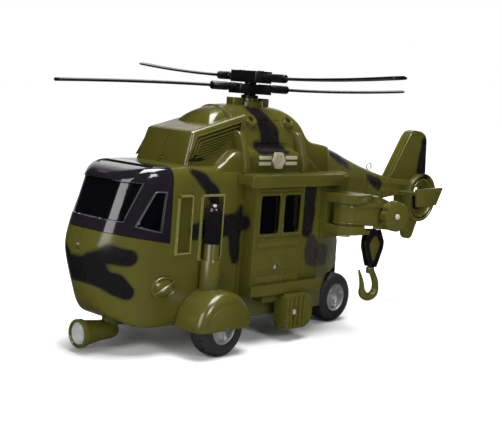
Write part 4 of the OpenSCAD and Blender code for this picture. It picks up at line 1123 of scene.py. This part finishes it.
def build_mid(name):
    """Middle shell: the CAD solid with its outer edges rounded."""
    bm = from_cad(f"mid_shell_{name}")
    outer = MID_HALF - 0.1

    def on_outside(edge):
        at = middle(edge)
        long = edge.calc_length() > 5
        roof_edge = at.z > 96.5 and abs(at.x) > 30
        corner = abs(at.x) > outer and at.y < -69 and long
        taper = at.y > 10 and at.z > 36 and long and abs(at.x) > 1
        sill = at.z < 29.4 and abs(at.x) > outer
        return roof_edge or corner or taper or sill
    soften(bm, 0.7, 3, 20, on_outside)
    piece(f"mid.{name}", bm, "airframe", "olive_gloss", f"mid_shell_{name}")


def build_door(side, name):
    """Door plate with two framed panes, a raised border, ledges, lines and a screw in its well."""
    y0, y1, z0, z1 = DOOR
    well_at = (-48, 45)
    bm = bmesh.new()
    windows = [box_outline(a, b, *PANE_Z, 1.6) for a, b in PANES]
    side_plate(bm, box_outline(*DOOR, 0.8), side, DOOR_IN, DOOR_OUT,
               holes=[*windows, circle_points(1.9, 24, well_at)], edge=0.3)
    border = box_outline(y0 + 1.6, y1 - 1.4, z0 + 1.4, z1 - 1.6, 1)
    inside = box_outline(y0 + 2.5, y1 - 2.3, z0 + 2.3, z1 - 2.5, 0.6)
    side_plate(bm, border, side, DOOR_OUT - 0.6, DOOR_OUT + 0.4, holes=[inside], edge=0.2)
    for (a, b), hole in zip(PANES, windows):
        ring = box_outline(a - 1.7, b + 1.7, PANE_Z[0] - 1.7, PANE_Z[1] + 1.7, 2.6)
        side_plate(bm, ring, side, DOOR_OUT - 0.6, DOOR_OUT + 0.7, holes=[hole], edge=0.35)
    for za, zb, aft in ((36.8, 40.6, 2.8), (57.6, 60.2, 9)):
        ledge = box_outline(y0 + 3.4, y1 - aft, za, zb, 0.5)
        side_plate(bm, ledge, side, DOOR_OUT - 0.6, DOOR_OUT + 0.35, edge=0.25)
    for za in (42.6, 55.8, 62):
        line = box_outline(y0 + 3.4, y1 - 3.2, za, za + 0.5)
        side_plate(bm, line, side, DOOR_OUT - 0.6, DOOR_OUT + 0.35)
    side_plate(bm, circle_points(2.1, 20, well_at), side, DOOR_IN, DOOR_IN + 0.4)
    piece(f"door.{name}", bm, f"{name}_door", "olive_gloss", f"door_{name}", look="olive_plain")
    bm = bmesh.new()
    for outline in windows:
        side_plate(bm, outline, side, DOOR_IN + 0.2, DOOR_OUT - 0.5, edge=0.25)
    piece(f"door.{name}_panes", bm, f"{name}_door", "black_gloss", f"door_panes_{name}", look="pane_gloss")
    bm = bmesh.new()
    screw_head(bm, along_x((side * (DOOR_IN + 0.3), *well_at), side), 1.55)
    piece(f"door.{name}_screw", bm, f"{name}_door", "steel")


def screw_head(bm, turn, radius):
    """Cross-head screw, its face towards +Z of the matrix."""
    lathe(bm, [(radius, 0), (radius, 0.5), (radius * 0.8, 0.85), (radius * 0.3, 1.0), (0, 1.02)], turn, 24)
    long, wide = radius * 0.75, radius * 0.13
    for angle in (0, math.pi / 2):
        plate(bm, box_outline(-long, long, -wide, wide), "z", 0.9, 1.12,
              turn=turn @ Matrix.Rotation(angle + 0.5, 4, "Z"))


def build_rails():
    bm = from_cad("door_rails")
    soften(bm, 0.7, 3, 40, lambda e: abs(middle(e).x) > MID_HALF + 0.5)
    piece("mid.rails", bm, "airframe", "olive_gloss", "door_rails", look="olive_plain")


for side, name in SIDES:
    build_mid(name)
    build_door(side, name)
build_rails()


# ---------------------------------------------------------------- tail
BOOM_ROWS = [(12, 47, 60.5, 115.2, 10), (30.2, 40.6, 61.5, 111, 9.5), (48, 33.8, 67.2, 105.4, 8),
             (66, 27, 72.5, 100.2, 7), (85, 20.6, 75.4, 95.4, 5.4), (104, 15, 77.5, 91.6, 4.2),
             (120, 12, 78.2, 90.3, 3.6), (134, 10, 78.5, 89.5, 3.2)]
BOOM_SEAMS = (33, 66, 104)
FAN_AT = (0, 144.9, 76)
SPOKES = (90, 210, 330)
SHROUD_R, DUCT_R, SHROUD_HALF = 17.9, 12.8, 7
FIN = [(104, 90), (124.8, 120.6), (128.4, 124), (133.5, 125.4), (142, 124.4), (147.4, 121.8), (149.2, 118),
       (151.6, 92), (150, 84), (118, 82)]
VENTRAL = [(124, 70), (134.4, 47), (138, 44.4), (142.2, 46.4), (151, 66)]


def boom_skin():
    """Tapering boom with its cross seams, open at both ends; each row is y, width, bottom, top, radius."""
    rows = curve([Vector(r[:4]) for r in BOOM_ROWS], 5)
    radii = curve([Vector((r[4], 0)) for r in BOOM_ROWS], 5)
    loops = []
    for row, r in zip(rows, radii):
        y, width, z0, z1 = row
        half, radius = width / 2, r.x
        top = half * 0.62
        corners = [(half, z0), (half, z1 - (z1 - z0) * 0.3), (top, z1), (-top, z1),
                   (-half, z1 - (z1 - z0) * 0.3), (-half, z0)]
        radii_here = [radius, *[radius * 0.7] * 4, radius]
        loops.append([(p.x, y, p.y) for p in rounded(corners, radii_here, 8)])
    bm = bmesh.new()
    loft(bm, loops, caps=False)
    bmesh.ops.recalc_face_normals(bm, faces=bm.faces)
    for station in BOOM_SEAMS:
        cuts = [(Vector((0, station + s * 0.4, 0)), Vector((0, s, 0))) for s in (-1, 1)]
        emboss(bm, cuts, -0.7, lambda c, n: abs(c.y - station) < 8, 0.1)
    return bm


def build_boom(side, name):
    """Half of the boom, its fins and the ring round the fan; starboard carries the fan's spokes."""
    bm = boom_skin()
    cut_off(bm, MIDDLE, Vector((-side, 0, 0)))
    part_seams(bm, [(MIDDLE, Vector((-side, 0, 0)))])
    thicken(bm, WALL)
    side_plate(bm, rounded(FIN, [2, 6, 4, 4, 4, 4, 4, 6, 2, 2], 4), side, 0.08, 3)
    side_plate(bm, rounded(VENTRAL, [1, 2, 3, 3, 1], 4), side, 0.08, 2.5)
    ridge = [e for e in bm.edges if len(e.link_faces) == 2 and abs(e.verts[0].co.x) > 2.4
             and abs(e.verts[0].co.x - e.verts[1].co.x) < 1e-6 and e.calc_face_angle(0) > 1.2
             and middle(e).y > 103 and abs(middle(e).x) <= 3.01]
    bmesh.ops.bevel(bm, geom=ridge, offset=1.7, segments=1, profile=0.5, affect="EDGES", clamp_overlap=True)
    turn = along_x(FAN_AT, side)
    ring = [(DUCT_R, 0.08), (DUCT_R, 6.2), (DUCT_R + 0.4, 6.8), (DUCT_R + 1.2, 6.8), (DUCT_R + 1.6, 6.2),
            (DUCT_R + 1.8, 4.6), (DUCT_R + 2.6, 4.6), (DUCT_R + 2.9, 6.4), (DUCT_R + 3.3, SHROUD_HALF),
            (SHROUD_R - 0.8, SHROUD_HALF), (SHROUD_R - 0.25, SHROUD_HALF - 0.3),
            (SHROUD_R, SHROUD_HALF - 1), (SHROUD_R, 0.08)]
    lathe(bm, ring, turn, 72, closed=True)
    if side < 0:
        for a in SPOKES:
            spoke = Matrix.Translation(FAN_AT) @ Matrix.Rotation(math.radians(a), 4, "X")
            plate(bm, box_outline(-1, 1, 0, DUCT_R + 1), "x", -6.4, -4.4, edge=0.3, turn=spoke)
        lathe(bm, [(3, 3.4), (3, 6), (2.6, 6.4), (0, 6.4)], turn, 32)
    line = curve([(107, 91), (126.4, 119.6), (129.6, 122.4), (134, 123.2), (141, 122.4)], 4)
    sweep(bm, [(side * 3, p.x, p.y) for p in line], 0.5, 8)
    piece(f"tail.boom_{name}", bm, "airframe", "olive_gloss", f"tail_boom_{name}")


def build_fan():
    """Pointed hub with five twisted blades."""
    bm = bmesh.new()
    turn = along_x(FAN_AT)
    lathe(bm, [(1, -7.4), (1, -2.6), (3.2, -2.6), (3.2, 1.6), (2.6, 3), (1.4, 3.8), (0, 4)], turn, 32)
    root_r, tip_r, thick, steps = 2.4, 11.4, 0.5, 6
    for a in range(0, 360, 72):
        blade = turn @ Matrix.Rotation(math.radians(a), 4, "Z")
        loops = []
        for share in (i / steps for i in range(steps + 1)):
            r = root_r + (tip_r - root_r) * share
            pitch = math.radians(42 - 20 * share)
            half = 2.2 + 1.9 * math.sin(math.pi * (0.2 + 0.5 * share))
            loop = []
            for b in (2 * math.pi * k / 12 for k in range(12)):
                u, w = half * math.cos(b), thick * math.sin(b)
                loop.append(blade @ Vector((r, u * math.cos(pitch) - w * math.sin(pitch),
                                            0.4 + u * math.sin(pitch) + w * math.cos(pitch))))
            loops.append(loop)
        loft(bm, loops)
    piece("tail.fan_wheel", bm, "fan", "black_matte", "tail_fan")


def build_stabiliser():
    """Bar under the boom with an upright plate at each end."""
    bm = bmesh.new()
    lower, upper, half_span = 80, 82.5, 25.6
    section = rounded([(114, lower), (122, lower + 0.5), (122, upper - 0.5), (114, upper)],
                      [1.1, 0.5, 0.5, 1.1], 4)
    loft(bm, [[(x, p.x, p.y) for p in section] for x in (-half_span, half_span)])
    end_plate = rounded([(110, 72.8), (133.5, 73.5), (140.5, 86), (107, 85.4)], 0.8, 3)
    for side in (1, -1):
        side_plate(bm, end_plate, side, 25, 26.8, edge=0.5)
    piece("tail.stabiliser", bm, "airframe", "olive_gloss", "stabiliser", look="olive_plain")


def build_loop():
    """Small wire eye that stands on the boom."""
    bm = bmesh.new()
    y, foot, centre, eye_r = 85, 90.5, 99, 2.5
    ring = [(0, y + eye_r * math.sin(a), centre - eye_r * math.cos(a))
            for a in (2 * math.pi * i / 32 for i in range(33))]
    sweep(bm, [(0, y, foot), (0, y, 94), *ring], 0.42, 10)
    piece("tail.wire_loop", bm, "airframe", "steel", "tow_loop")


for side, name in SIDES:
    build_boom(side, name)
build_fan()
build_stabiliser()
build_loop()


# ---------------------------------------------------------------- front undercarriage
STRUT_X, STRUT_Y = 33.6, -97
AXLE_Z = 16


def build_struts():
    """Stepped legs over the front wheels with round black caps."""
    bm = bmesh.new()
    at = Matrix.Translation((STRUT_X, STRUT_Y, 0))
    lathe(bm, [(5.6, 34), (5.6, 51.6), (5.3, 52.3), (4.4, 52.4), (4.2, 52.8), (4.2, 61), (4, 61.4),
               (0, 61.4)], at, 48)
    doubled(bm)
    piece("front.struts", bm, "airframe", "olive_gloss", "struts", look="olive_plain")
    bm = bmesh.new()
    dome = [(4.6 * math.cos(a), 79.3 + 4.6 * math.sin(a)) for a in (math.pi / 2 * i / 8 for i in range(9))]
    lathe(bm, [(4.3, 61.5), (4.6, 62), *dome], at, 48)
    doubled(bm)
    piece("front.strut_caps", bm, "airframe", "black_gloss", "strut_caps")


FENDER_R, FENDER_X, FENDER_SKIN = 20.5, 50.3, 1.5
FRONT_Y = -96.5


def arc(centre, radius, start, end, steps=6):
    angles = (math.radians(start + (end - start) * i / steps) for i in range(steps + 1))
    return [tuple(c + d for c, d in zip(centre, turned(radius, a))) for a in angles]


def build_fender(side, name):
    """Half drum over the wheel with a round shoulder and a raised crest."""
    bm = bmesh.new()
    shoulder, inner = 5.2, 15
    bend, inner_x = (FENDER_R - shoulder, FENDER_X - shoulder), 29.8
    outer = [(FENDER_R, inner_x), *arc(bend, shoulder, 0, 90), (2, FENDER_X)]
    inside = [(2, FENDER_X - FENDER_SKIN), *arc(bend, shoulder - FENDER_SKIN, 90, 0),
              (FENDER_R - FENDER_SKIN, inner_x)]
    turn = (Matrix.Translation((0, FRONT_Y, AXLE_Z)) @ Matrix.Diagonal((side, 1, 1, 1))
            @ Matrix(((0, 0, 1, 0), (1, 0, 0, 0), (0, 1, 0, 0), (0, 0, 0, 1))))
    half_turn(bm, outer + inside, turn, 56)
    crest = [(inner, FENDER_X - 0.6), (inner, FENDER_X + 0.25), (inner - 0.6, FENDER_X + 0.6),
             (2, FENDER_X + 0.6), (2, FENDER_X - 0.6)]
    half_turn(bm, crest, turn, 48)
    piece(f"front.fender_{name}", bm, "airframe", "olive_gloss", f"fender_{name}", look="olive_plain")


POD_FORE, POD_AFT, POD_Z, POD_X0, POD_X1 = -41.5, -18.4, 18.2, 33.8, 44.2
POD_SCREW_Y = -35.6


def build_pods():
    """Step pods: a deep box with a round aft end, four upright ribs and the bar that carries it."""
    bm = bmesh.new()
    half = 10.5
    z0, z1 = POD_Z - half, POD_Z + half
    outline = rounded(box_outline(POD_FORE, POD_AFT, z0, z1), [3, 9, 9, 3], 8)
    plate(bm, outline, "x", POD_X0, POD_X1, edge=0.9, segments=3)
    for i in range(4):
        y = POD_SCREW_Y - 2.9 + i * 3.9
        rib = box_outline(y - 0.8, y + 0.8, z0 + 0.8, z1 - 0.8, 0.5)
        plate(bm, rib, "x", POD_X1 - 0.3, POD_X1 + 0.9, edge=0.35)
    plate(bm, box_outline(-54, -27, 23.4, 27.4, 0.8), "x", 27.1, POD_X0 + 1.4, edge=0.4)
    lathe(bm, [(2.5, 0), (2.5, 1.1), (2.2, 1.4), (1.9, 1.1), (1.9, 0)],
          along_x((POD_X1 - 0.1, POD_SCREW_Y, POD_Z)), 32, closed=True)
    doubled(bm)
    piece("mid.step_pods", bm, "airframe", "olive_gloss", "step_pods", look="olive_plain")


def build_case_screws():
    """Screws in the pods, in the wells of the engine cowl and in the belly."""
    bm = bmesh.new()
    screw_head(bm, along_x((POD_X1, POD_SCREW_Y, POD_Z)), 1.8)
    doubled(bm)
    for y in BOSS_STATIONS:
        for side in (-1, 1):
            screw_head(bm, boss_turn(y, side) @ Matrix.Translation((0, 0, -2)), 1.6)
    screw_head(bm, Matrix.Translation((0, -15.2, 13.6)) @ Matrix.Rotation(math.pi, 4, "X"), 1.6)
    piece("mid.case_screws", bm, "airframe", "steel", "case_screws")


# ---------------------------------------------------------------- wheels
TYRE_R, TYRE_W, RIM_R = 16, 12, 9


def add_tyre(bm, y, face):
    """Tyre with a round shoulder and short cross grooves at both edges of the tread."""
    steps, grooves = 120, 20
    r = TYRE_R
    half = [(RIM_R, -0.4), (RIM_R + 0.6, 0.15), (RIM_R + 1.6, 0.3), (RIM_R + 3.4, 0), (r - 2.6, 0),
            (r - 1.3, 0.5), (r - 0.5, 1.3), (r - 0.12, 2.4), (r, 3.8)]
    profile = [(a, face - b) for a, b in half] + [(a, face - TYRE_W + b) for a, b in reversed(half)]
    turn = along_x((0, y, AXLE_Z))
    first = len(bm.faces)
    lathe(bm, profile, turn, steps, closed=True)
    bm.faces.ensure_lookup_table()
    bmesh.ops.recalc_face_normals(bm, faces=bm.faces[first:])
    cut = []
    for face_made in bm.faces[first:]:
        centre = face_made.calc_center_median()
        radius = math.hypot(centre.y - y, centre.z - AXLE_Z)
        turn_share = (math.atan2(centre.z - AXLE_Z, centre.y - y) / (2 * math.pi) * grooves) % 1
        from_face = face - centre.x
        shoulder = 0.6 < from_face < 3.8 or 0.6 < TYRE_W - from_face < 3.8
        if radius > r - 1.2 and shoulder and turn_share < 1 / 6:
            cut.append(face_made)
    bmesh.ops.inset_region(bm, faces=cut, thickness=0.12, depth=-0.8, use_boundary=True,
                           use_even_offset=False)


def add_rim(bm, y, face):
    """Bright rim: rolled lip, sunk disc, hub and three spokes."""
    turn = along_x((0, y, AXLE_Z))
    r = RIM_R
    lathe(bm, [(r, face - TYRE_W), (r, face - 0.5), (r - 0.3, face - 0.1), (r - 0.8, face - 0.1),
               (r - 1.1, face - 0.5), (r - 1.3, face - 4.3), (r - 1.9, face - 4.8), (1.6, face - 4.8),
               (1.6, face - TYRE_W)], turn, 64, closed=True)
    lathe(bm, [(1.4, face - 5), (3.1, face - 5), (3.1, face - 1.9), (2.7, face - 1.2), (1.7, face - 1.0),
               (1.4, face - 1.3)], turn, 40, closed=True)
    for a in SPOKES:
        spoke = Matrix.Translation((0, y, AXLE_Z)) @ Matrix.Rotation(math.radians(a), 4, "X")
        plate(bm, [(-1.5, 2.8), (1.5, 2.8), (1.1, r - 1), (-1.1, r - 1)], "x", face - 5, face - 2.2,
              edge=0.35, turn=spoke)


def build_wheels(name, y, face):
    """An axle with a tyre and a rim at each end; face is how far out the wheels' outer sides lie."""
    bm = bmesh.new()
    add_tyre(bm, y, face)
    doubled(bm)
    piece(f"wheels.{name}_tyres", bm, f"{name}_wheels", "tyre_black", f"{name}_tyres")
    bm = bmesh.new()
    add_rim(bm, y, face)
    doubled(bm)
    piece(f"wheels.{name}_rims", bm, f"{name}_wheels", "rim_silver", f"{name}_rims", sharp=30)
    bm = bmesh.new()
    turn = along_x((0, y, AXLE_Z))
    lathe(bm, [(0, 1 - face), (1.1, 1 - face), (1.5, 1.4 - face), (1.5, face - 1.4), (1.1, face - 1),
               (0, face - 1)], turn, 32)
    piece(f"wheels.{name}_axle", bm, f"{name}_wheels", "steel", f"{name}_axle")


# ---------------------------------------------------------------- searchlight
LENS_Y, BEAM_Z, NECK_Y = -160.2, 10.9, -138.5


def build_searchlight():
    turn = Matrix.Translation((0, LENS_Y, BEAM_Z)) @ Matrix.Rotation(-math.pi / 2, 4, "X")
    bm = bmesh.new()
    outer = curve([(5.4, 21.6), (5.6, 16), (6.2, 10.6), (6.8, 6), (7.3, 3.4)], 3)
    ball = [(5.4 * math.cos(a), 21.7 + 5.4 * math.sin(a))
            for a in (math.pi / 2 * (1 - i / 8) for i in range(9))]
    lathe(bm, [*[(max(p[0], 0), p[1]) for p in ball], *[(p.x, p.y) for p in outer], (7.4, 3.2), (7.9, 2.8),
               (7.9, 0.5), (7.5, 0), (6.7, 0), (6.5, 0.4), (6.3, 1.2), (4, 8), (0, 8)], turn, 56)
    lathe(bm, [(0, BEAM_Z), (4.2, BEAM_Z), (4.2, 25.5), (0, 25.5)], Matrix.Translation((0, NECK_Y, 0)), 40)
    piece("searchlight.housing", bm, "searchlight", "olive_gloss", "searchlight_cup", look="olive_plain")
    bm = bmesh.new()
    rings = [(6.1, 1.6), (5.5, 2.4), (5.2, 2.2), (4.5, 4.2), (4.2, 4.0), (3.4, 6), (1.6, 6.6), (1.4, 5.2),
             (0, 5)]
    lathe(bm, [(0, 7.6), (3.9, 7.6), (6.1, 2.2), *rings], turn, 48)
    piece("searchlight.reflector", bm, "searchlight", "steel", "lamp_reflector", look="rim_silver")
    bm = bmesh.new()
    dome = [(6.2 * math.cos(a), 1.1 - 0.9 * math.sin(a)) for a in (math.pi / 2 * i / 8 for i in range(9))]
    lathe(bm, [(0, 1.4), (6.2, 1.4), *[(max(p[0], 0), p[1]) for p in dome]], turn, 48)
    piece("searchlight.lens", bm, "searchlight", "lens_clear", "lamp_lens")


build_struts()
for side, name in SIDES:
    build_fender(side, name)
build_pods()
build_case_screws()
build_wheels("front", FRONT_Y, 47.5)
build_wheels("rear", 28.5, 24.5)
build_searchlight()


# ---------------------------------------------------------------- crane, winch and hook
CRANE_X, CRANE_Y, SWING = 49, 1, -14
REEL_S, CORD_S, REEL_Z = 27, 22.45, 76.3
ARM_Z0, ARM_Z1, ARM_HALF = 69.8, 82.8, 8
PIVOT = Matrix.Translation((CRANE_X, CRANE_Y, 0)) @ Matrix.Rotation(math.radians(SWING), 4, "Z")
REEL_AXIS = PIVOT @ along_x((0, REEL_S, REEL_Z))
CORD_AT = PIVOT @ Matrix.Translation((0, CORD_S, 0))


def build_arm():
    """Arm with a round heel, two moulded lines round it, a deeper fork and a sloped cover."""
    bm = from_cad("crane_arm")
    soften(bm, 0.5, 3, 35, lambda e: e.calc_length() > 2.5)
    line_r = ARM_HALF * 1.035
    heel = [turned(line_r, math.pi + math.pi * i / 24) for i in range(25)]
    around = [(-line_r, 30), (-line_r, 8), *heel, (line_r, 8), (line_r, 30)]
    for z in (ARM_Z0 + 1.3, ARM_Z1 - 1.6):
        sweep(bm, [PIVOT @ Vector((x, y, z)) for x, y in around], 0.42, 8)
    piece("crane.arm_body", bm, "crane", "olive_gloss", "crane_arm", look="olive_plain")


def build_bracket():
    bm = from_cad("crane_bracket")
    soften(bm, 0.6, 3, 35, lambda e: e.calc_length() > 2.2)
    piece("crane.bracket_plate", bm, "airframe", "olive_gloss", "crane_bracket", look="olive_plain")


def build_reel():
    """Winch drum with its cord turns and flanges, the lobed knob and the knob's screw."""
    bm = bmesh.new()
    for low, high, radius in ((-8.4, 13.4, 1.6), (-5.5, -4.4, 4.6), (4.4, 5.5, 4.6), (-4.5, 4.5, 4)):
        edge = 0.25
        lathe(bm, [(0, low), (radius - edge, low), (radius, low + edge), (radius, high - edge),
                   (radius - edge, high), (0, high)], REEL_AXIS, 40)
    for i in range(7):
        at = -3.8 + i * 1.2
        ring = [REEL_AXIS @ Vector((4.2 * math.cos(a), 4.2 * math.sin(a), at + 1.2 * a / (2 * math.pi)))
                for a in (2 * math.pi * k / 24 for k in range(25))]
        sweep(bm, ring, 0.5, 6)
    lathe(bm, [(1.7, 8.3), (7.8, 8.3), (8.2, 8.7), (8.2, 9.8), (7.8, 10.2), (1.7, 10.2)], REEL_AXIS, 56,
          closed=True)
    piece("winch.reel_spool", bm, "reel", "black_gloss", "winch_reel")
    bm = bmesh.new()
    lobes, wide, deep = 8, 9.3, 1.1
    outline = []
    for a in (2 * math.pi * i / 96 for i in range(96)):
        dip = max(0.0, math.cos(lobes * a)) ** 1.5
        outline.append(turned(wide - deep * dip, a + math.pi / lobes))
    plate(bm, outline, "z", 10.2, 15.9, edge=0.7, segments=3, turn=REEL_AXIS)
    lathe(bm, [(3, 15.7), (3, 16.15), (2.7, 16.2), (2.3, 15.9), (2.3, 15.7)], REEL_AXIS, 32, closed=True)
    piece("winch.knob_wheel", bm, "reel", "olive_gloss", "winch_knob", look="olive_plain")
    bm = bmesh.new()
    screw_head(bm, REEL_AXIS @ Matrix.Translation((0, 0, 15.5)), 1.75)
    piece("winch.knob_fastener", bm, "reel", "steel", "knob_screw")


def build_cord():
    """Winch cord from the drum's front, which the crane carries, to the hook block."""
    cord_r, tied = 0.6, 64
    bm = bmesh.new()
    sweep(bm, [CORD_AT @ Vector((0, 0, REEL_Z + (tied - REEL_Z) * i / 16)) for i in range(17)], cord_r, 12)
    line = piece("winch.cord_line", bm, None, "cord_black", "winch_cord")
    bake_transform(line)


def build_hook_block():
    """Two open cheeks with spacers between them and a plain core."""
    bm = bmesh.new()
    cheek = [(-6, 66.2), (3.6, 66.2), (6.8, 59), (6.8, 55), (2.6, 42.6), (-2.6, 42.6), (-6.8, 55),
             (-6.8, 59)]
    radii = [1, 1, 2.5, 2.5, 1, 1, 2.5, 2.5]
    opening = [(-1.6, 62), (1.6, 62), (4.4, 58), (4.4, 55.6), (1.2, 46.4), (-1.2, 46.4), (-4.4, 55.6),
               (-4.4, 58)]
    for x in (-2.3, 2.3):
        plate(bm, rounded(cheek, radii, 4), "x", x - 0.65, x + 0.65, holes=[rounded(opening, 0.7, 3)],
              edge=0.3, turn=CORD_AT)
    for low, high, edge in ((62.4, 65.8, 0), (42.8, 46.6, 0.2)):
        spacer = rounded(box_outline(-2.4, 2.4, low, high), 0.4, 2)
        plate(bm, spacer, "x", -1.8, 1.8, edge=edge, turn=CORD_AT)
    piece("hook.block_cheeks", bm, "hook_carrier", "black_gloss", "hook_block")
    bm = bmesh.new()
    core = [(-1.9, 62.8), (1.9, 62.8), (5, 58), (5, 55.4), (1.4, 45.4), (-1.4, 45.4), (-5, 55.4), (-5, 58)]
    plate(bm, rounded(core, 0.8, 3), "x", -1.6, 1.6, edge=0.3, turn=CORD_AT)
    piece("hook.block_insert", bm, "hook_carrier", "olive_gloss", look="olive_plain")


def build_hook():
    """Round-bar hook with a bill, a collar and a swivelling shank."""
    bm = bmesh.new()
    bend, z = 5.3, 28.6
    bow = [(0, bend * math.cos(a), z + bend * math.sin(a)) for a in (-math.pi * i / 20 for i in range(21))]
    path = [(0, 0.4, 41), (0, 1.8, 38.6), (0, 3.9, 35), (0, 5.1, 31.8), *bow,
            (0, -5.7, 31.8), (0, -6.7, 35.2), (0, -8.0, 38.4), (0, -8.9, 40.6)]

    def thickness(share):
        thin = max(0.0, share - 0.72) / 0.28
        return 2.6 - 0.7 * max(0.0, 0.3 - share) / 0.3 - 2.0 * thin ** 1.3
    sweep(bm, [CORD_AT @ Vector(p) for p in path], thickness, 14)
    lathe(bm, [(0, 38.2), (2.3, 38.4), (2.6, 39), (2.6, 41.6), (2.2, 42.3), (1.1, 42.4), (1.1, 46.9),
               (1.5, 47), (1.5, 47.8), (0, 47.9)], CORD_AT, 32)
    piece("hook.bow", bm, "hook_turn", "olive_gloss", "hook", look="olive_plain")


# ---------------------------------------------------------------- rotor
ROTOR_TURN = -9.7


def at_hub(turn, z):
    return Matrix.Translation((0, MAST_Y, z)) @ Matrix.Rotation(math.radians(ROTOR_TURN + turn), 4, "Z")


def build_carrier(name, node_name, turn, z, block, arm_end):
    """Hub block with two ribbed blade holders and their screws."""
    bm = bmesh.new()
    half_x, half_y, low, high = block
    at = at_hub(turn, z)
    outline = rounded(box_outline(-half_x, half_x, -half_y, half_y), 1.4, 3)
    plate(bm, outline, "z", low, high, edge=0.5, turn=at)
    for side in (0, math.pi):
        arm = at @ Matrix.Rotation(side, 4, "Z") @ along_x(MIDDLE)
        neck = arm_end * 0.6
        lathe(bm, [(0, 6), (2.2, 6), (2.2, neck), (2.5, neck + 0.4), (2.5, arm_end - 0.6), (2.1, arm_end),
                   (0, arm_end)], arm, 32)
        for i in range(2):
            ring = arm @ Matrix.Translation((0, 0, neck - 2.2 - 2.6 * i))
            lathe(bm, [(2.1, -0.5), (2.5, -0.4), (2.5, 0.4), (2.1, 0.5)], ring, 32, closed=True)
    for x in (-half_x + 3.4, half_x - 3.4):
        lathe(bm, [(0, -0.2), (1.9, -0.2), (1.9, 0.1), (1.6, 0.35), (0, 0.35)],
              at @ Matrix.Translation((x, 0, high)), 24)
    piece(name, bm, "rotor", "black_matte", node_name)


def build_blade(name, node_name, turn, z, start, rise):
    """Thin blade: narrow root, round tip, thick spine line and edges that thin out."""
    rotor_r, chord, half_t = 127.8, 10.5, 0.95
    across = [(-1, 0.5), (-0.6, 0.85), (-0.12, 1), (0.12, 1), (0.6, 0.85), (1, 0.5), (1, -0.5),
              (0.6, -0.85), (0, -1), (-0.6, -0.85), (-1, -0.5)]
    at = at_hub(turn, z)
    stations = [start, start + 3, start + 6, start + 9, start + 12]
    stations += [start + 12 + (rotor_r - 4 - start - 12) * i / 14 for i in range(1, 15)]
    stations += [rotor_r - 4 + 4 * math.sin(math.radians(a)) for a in (20, 40, 60, 75, 88)]
    loops = []
    for s in stations:
        grow = min(1.0, max(0.0, (s - start - 5) / 7))
        half = 2.2 + (chord / 2 - 2.2) * grow * grow * (3 - 2 * grow)
        tip = max(0.0, s - rotor_r + 4)
        half -= 4 - math.sqrt(max(0.0, 16 - tip * tip)) if tip else 0
        lift = rise * max(0.0, (s - start) / (rotor_r - start)) ** 1.8
        loops.append([at @ Vector((s, u * half, lift + w * half_t)) for u, w in across])
    bm = bmesh.new()
    loft(bm, loops)
    piece(name, bm, "rotor", "black_matte", node_name, look="blade_black")


def build_rotor():
    """Mast with its collars, two carriers and four blades; names say where a blade points at rest."""
    bm = bmesh.new()
    lathe(bm, [(0, 126), (3.6, 126), (3.6, 127), (5.5, 127), (5.5, 129.5), (3.6, 129.6), (3.6, 141.2),
               (4.8, 141.3), (5.2, 141.7), (5.2, 143), (4.8, 143.3), (3.6, 143.4), (3.6, 157), (0, 157)],
          Matrix.Translation((0, MAST_Y, 0)), 40)
    piece("rotor.shaft", bm, "rotor", "black_matte", "rotor_mast")
    lower_z, upper_z = 147.8, 154.2
    build_carrier("rotor.hub_lower", "lower_carrier", 90, lower_z, (12, 6.4, -3.8, 2.05), 28.4)
    build_carrier("rotor.hub_upper", "upper_carrier", 0, upper_z, (13, 6.4, -3.4, 3.6), 33.6)
    for name, turn, z, start, rise in (("port", 0, upper_z, 28, 4.3), ("starboard", 180, upper_z, 28, 4.3),
                                       ("aft", 90, lower_z, 23, 4.6), ("fore", 270, lower_z, 23, -3)):
        build_blade(f"rotor.blade_{name}", f"blade_{name}", turn, z, start, rise)


build_arm()
build_bracket()
build_reel()
build_cord()
build_hook_block()
build_hook()
build_rotor()
